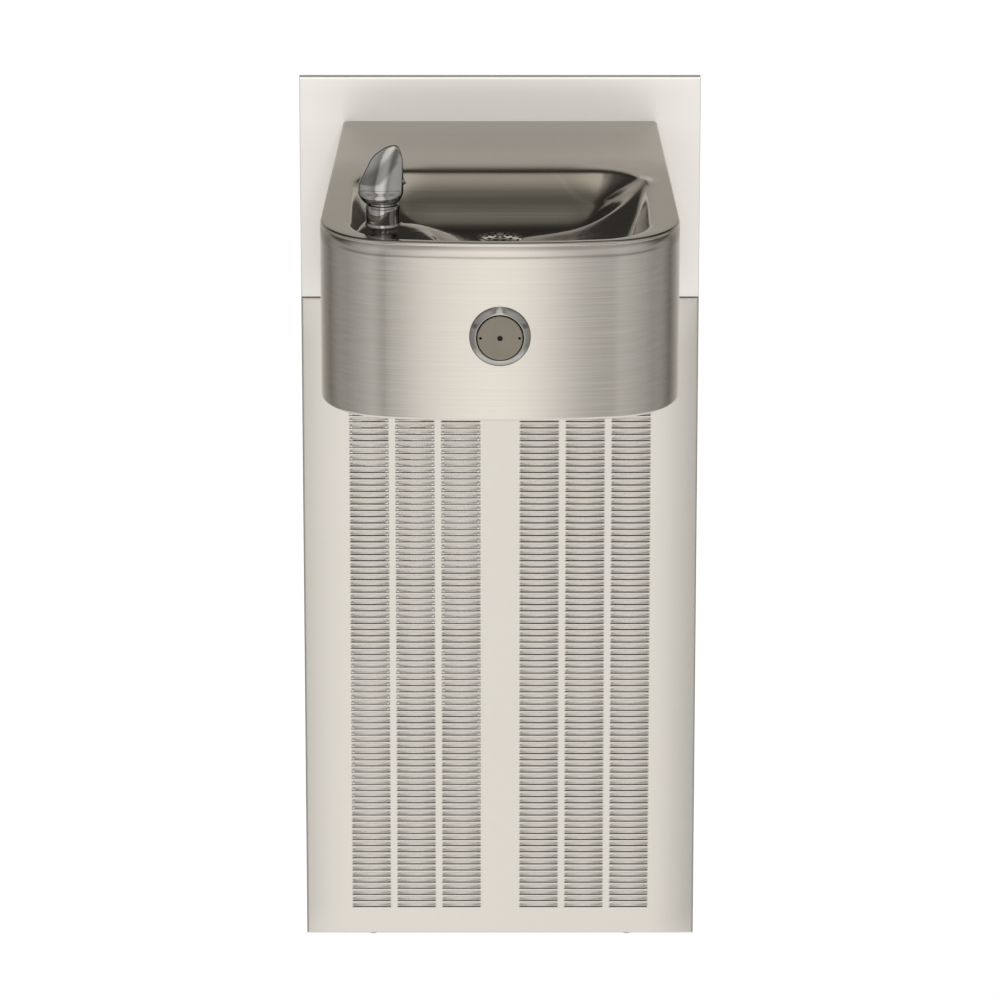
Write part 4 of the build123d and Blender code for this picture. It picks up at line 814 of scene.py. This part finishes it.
# ---- Button ring, in radius and distance behind the basin's front ----------------------------
STEM_BORE = 5.1
SPIGOT = 15.4
BUTTON_POCKET = 25.1
POCKET_FLOOR = -2.3
BEZEL_SEAT = -1.0
SPIGOT_END = bezel_high[1] - BASIN_FRONT
bezel_profile = round_profile(
    [(STEM_BORE, SPIGOT_END), (STEM_BORE, POCKET_FLOOR), (BUTTON_POCKET, POCKET_FLOOR),
     (BUTTON_POCKET, -6.8), (26.2, -8.0), (27.6, -7.6), (31.6, -4.6), (33.2, -2.9), (33.3, BEZEL_SEAT),
     (SPIGOT, BEZEL_SEAT), (SPIGOT, SPIGOT_END), (STEM_BORE, SPIGOT_END)], 0.8, 4)
bezel_ring = lathe("button_ring", bezel_profile[:-1], (0, BASIN_FRONT, BUTTON_Z), axis="Y", steps=128)
wear(bezel_ring, None, "polished_chrome", "wall_unit", "button_bezel")

# ---- Studio walls: the surroundings that the metal mirrors ---------------------------------------


def grey(v, warm=1.0):
    """A slightly warm grey."""
    return (v, v * (1 - 0.03 * warm), v * (1 - 0.08 * warm))


def tones(stops, warm=1.0):
    return [(position, grey(value, warm)) for position, value in stops]


world = bpy.data.worlds.new("studio")
world.use_nodes = True
bpy.context.scene.world = world
tree = world.node_tree
tree.nodes.clear()
output = tree.nodes.new("ShaderNodeOutputWorld")
background = tree.nodes.new("ShaderNodeBackground")
tree.links.new(background.outputs["Background"], output.inputs["Surface"])
direction = tree.nodes.new("ShaderNodeTexCoord")
split = tree.nodes.new("ShaderNodeSeparateXYZ")
tree.links.new(direction.outputs["Generated"], split.inputs["Vector"])
dx, dy, dz = split.outputs
dy_squared = math_node(tree, "ADD", math_node(tree, "MULTIPLY", dy, dy), 1e-5)
flat = math_node(tree, "SQRT", math_node(tree, "ADD", math_node(tree, "MULTIPLY", dx, dx), dy_squared))
side = math_node(tree, "MULTIPLY_ADD", math_node(tree, "DIVIDE", dx, flat), 0.5, 0.5)
frontness = math_node(tree, "MULTIPLY_ADD", math_node(tree, "DIVIDE", dy, flat), -0.5, 0.5)

# The walls' tones: across the front from left to right, then by height, and the same for the back.
front_ramp = ramp(tree, side, tones([
    (0.0, 0.30), (0.035, 0.36), (0.125, 0.45), (0.185, 0.50), (0.25, 0.43), (0.32, 0.34), (0.348, 0.38),
    (0.362, 0.60), (0.385, 0.84), (0.46, 0.99), (0.5, 1.02), (0.54, 0.99), (0.585, 0.72), (0.622, 0.44),
    (0.65, 0.36), (0.68, 0.46), (0.75, 0.51), (0.875, 0.45), (0.965, 0.38), (1.0, 0.30)], 0.8))
front_rise = ramp(tree, dz, tones([
    (0.0, 1.0), (0.03, 1.0), (0.08, 0.50), (0.20, 0.48), (0.27, 0.95), (0.70, 1.05), (0.88, 0.70),
    (0.97, 0.75), (1.0, 1.1)], 0.0))
back_ramp = ramp(tree, side, tones([
    (0.0, 0.30), (0.07, 0.17), (0.2, 0.32), (0.38, 0.62), (0.5, 0.68), (0.62, 0.62), (0.8, 0.36),
    (0.93, 0.14), (1.0, 0.30)], 1.5))
back_rise = ramp(tree, dz, tones([
    (0.36, 0.66), (0.45, 0.06), (0.75, 0.07), (0.90, 0.12), (0.966, 0.36), (0.992, 1.1), (1.0, 1.1)], 1.5))
to_high = math_node(tree, "MULTIPLY_ADD", dz, 8.0, -2.9, clamp=True)
front_tone = blend_colours(tree, 1.0, front_ramp, front_rise)
front_tone.node.blend_type = "MULTIPLY"
is_front = math_node(tree, "MULTIPLY_ADD", frontness, 4.0, -1.5, clamp=True)
around = blend_colours(tree, is_front, blend_colours(tree, to_high, back_ramp, back_rise), front_tone)
down = math_node(tree, "MULTIPLY_ADD", dz, -4.0, -2.4, clamp=True)
sky = blend_colours(tree, down, around, grey(0.85, 0.5))
path = tree.nodes.new("ShaderNodeLightPath")
shown = blend_colours(tree, path.outputs["Is Camera Ray"], sky, (1.0, 1.0, 1.0))
mirrored_or_seen = math_node(
    tree, "ADD", path.outputs["Is Camera Ray"], path.outputs["Is Glossy Ray"], clamp=True)
SOFT_FILL = (0.85, 0.85, 0.84)
final = blend_colours(tree, mirrored_or_seen, SOFT_FILL, shown)
tree.links.new(final, background.inputs["Color"])

# ---- Floor ---------------------------------------------------------------------------------------
FLOOR_Z = -0.05 / MM
FLOOR_HALF = 9000
floor_corners = [(x * FLOOR_HALF, y * FLOOR_HALF, FLOOR_Z) for x, y in ((-1, -1), (1, -1), (1, 1), (-1, 1))]
floor = mesh_object("floor_sheet", floor_corners, [(0, 1, 2, 3)], False)
floor_material = bpy.data.materials.new("floor_paper")
floor_material.use_nodes = True
tree = floor_material.node_tree
shader = tree.nodes["Principled BSDF"]
shader.inputs["Base Color"].default_value = (0.02, 0.02, 0.02, 1)
shader.inputs["Roughness"].default_value = 0.9
shader.inputs["Emission Color"].default_value = (1, 1, 1, 1)
shader.inputs["Emission Strength"].default_value = 1.0
through = tree.nodes.new("ShaderNodeBsdfTransparent")
mix = tree.nodes.new("ShaderNodeMixShader")
path = tree.nodes.new("ShaderNodeLightPath")
tree.links.new(path.outputs["Is Glossy Ray"], mix.inputs["Fac"])
tree.links.new(shader.outputs["BSDF"], mix.inputs[1])
tree.links.new(through.outputs["BSDF"], mix.inputs[2])
tree.links.new(mix.outputs["Shader"], tree.nodes["Material Output"].inputs["Surface"])
floor.data.materials.append(floor_material)

# ---- Light and camera, in metres -----------------------------------------------------------------


def area_light(name, location, aim, size, watts, colour):
    data = bpy.data.lights.new(name, "AREA")
    data.shape = "RECTANGLE"
    data.size, data.size_y = size
    data.energy = watts
    data.color = colour
    made = bpy.data.objects.new(name, data)
    bpy.context.scene.collection.objects.link(made)
    made.location = location
    made.rotation_euler = (Vector(aim) - Vector(location)).to_track_quat("-Z", "Y").to_euler()
    return made


key = area_light("key_overhead", (0.2, -1.6, 3.4), (0, -0.2, 0.8), (1.6, 1.0), 60, (1.0, 0.98, 0.95))
key.visible_glossy = False  # the polished and brushed faces mirror the studio walls only

camera_data = bpy.data.cameras.new("camera")
camera = bpy.data.objects.new("camera", camera_data)
bpy.context.scene.collection.objects.link(camera)
PITCH = math.radians(18.62)
AIM_Z = 0.538
DISTANCE = 8.0
camera.location = (0, -DISTANCE * math.cos(PITCH), AIM_Z + DISTANCE * math.sin(PITCH))
camera.rotation_euler = (math.pi / 2 - PITCH, 0, 0)
camera_data.sensor_width = 36.0
camera_data.lens = 247.7
camera_data.clip_end = 60
bpy.context.scene.camera = camera
bpy.context.scene.view_settings.view_transform = "Standard"
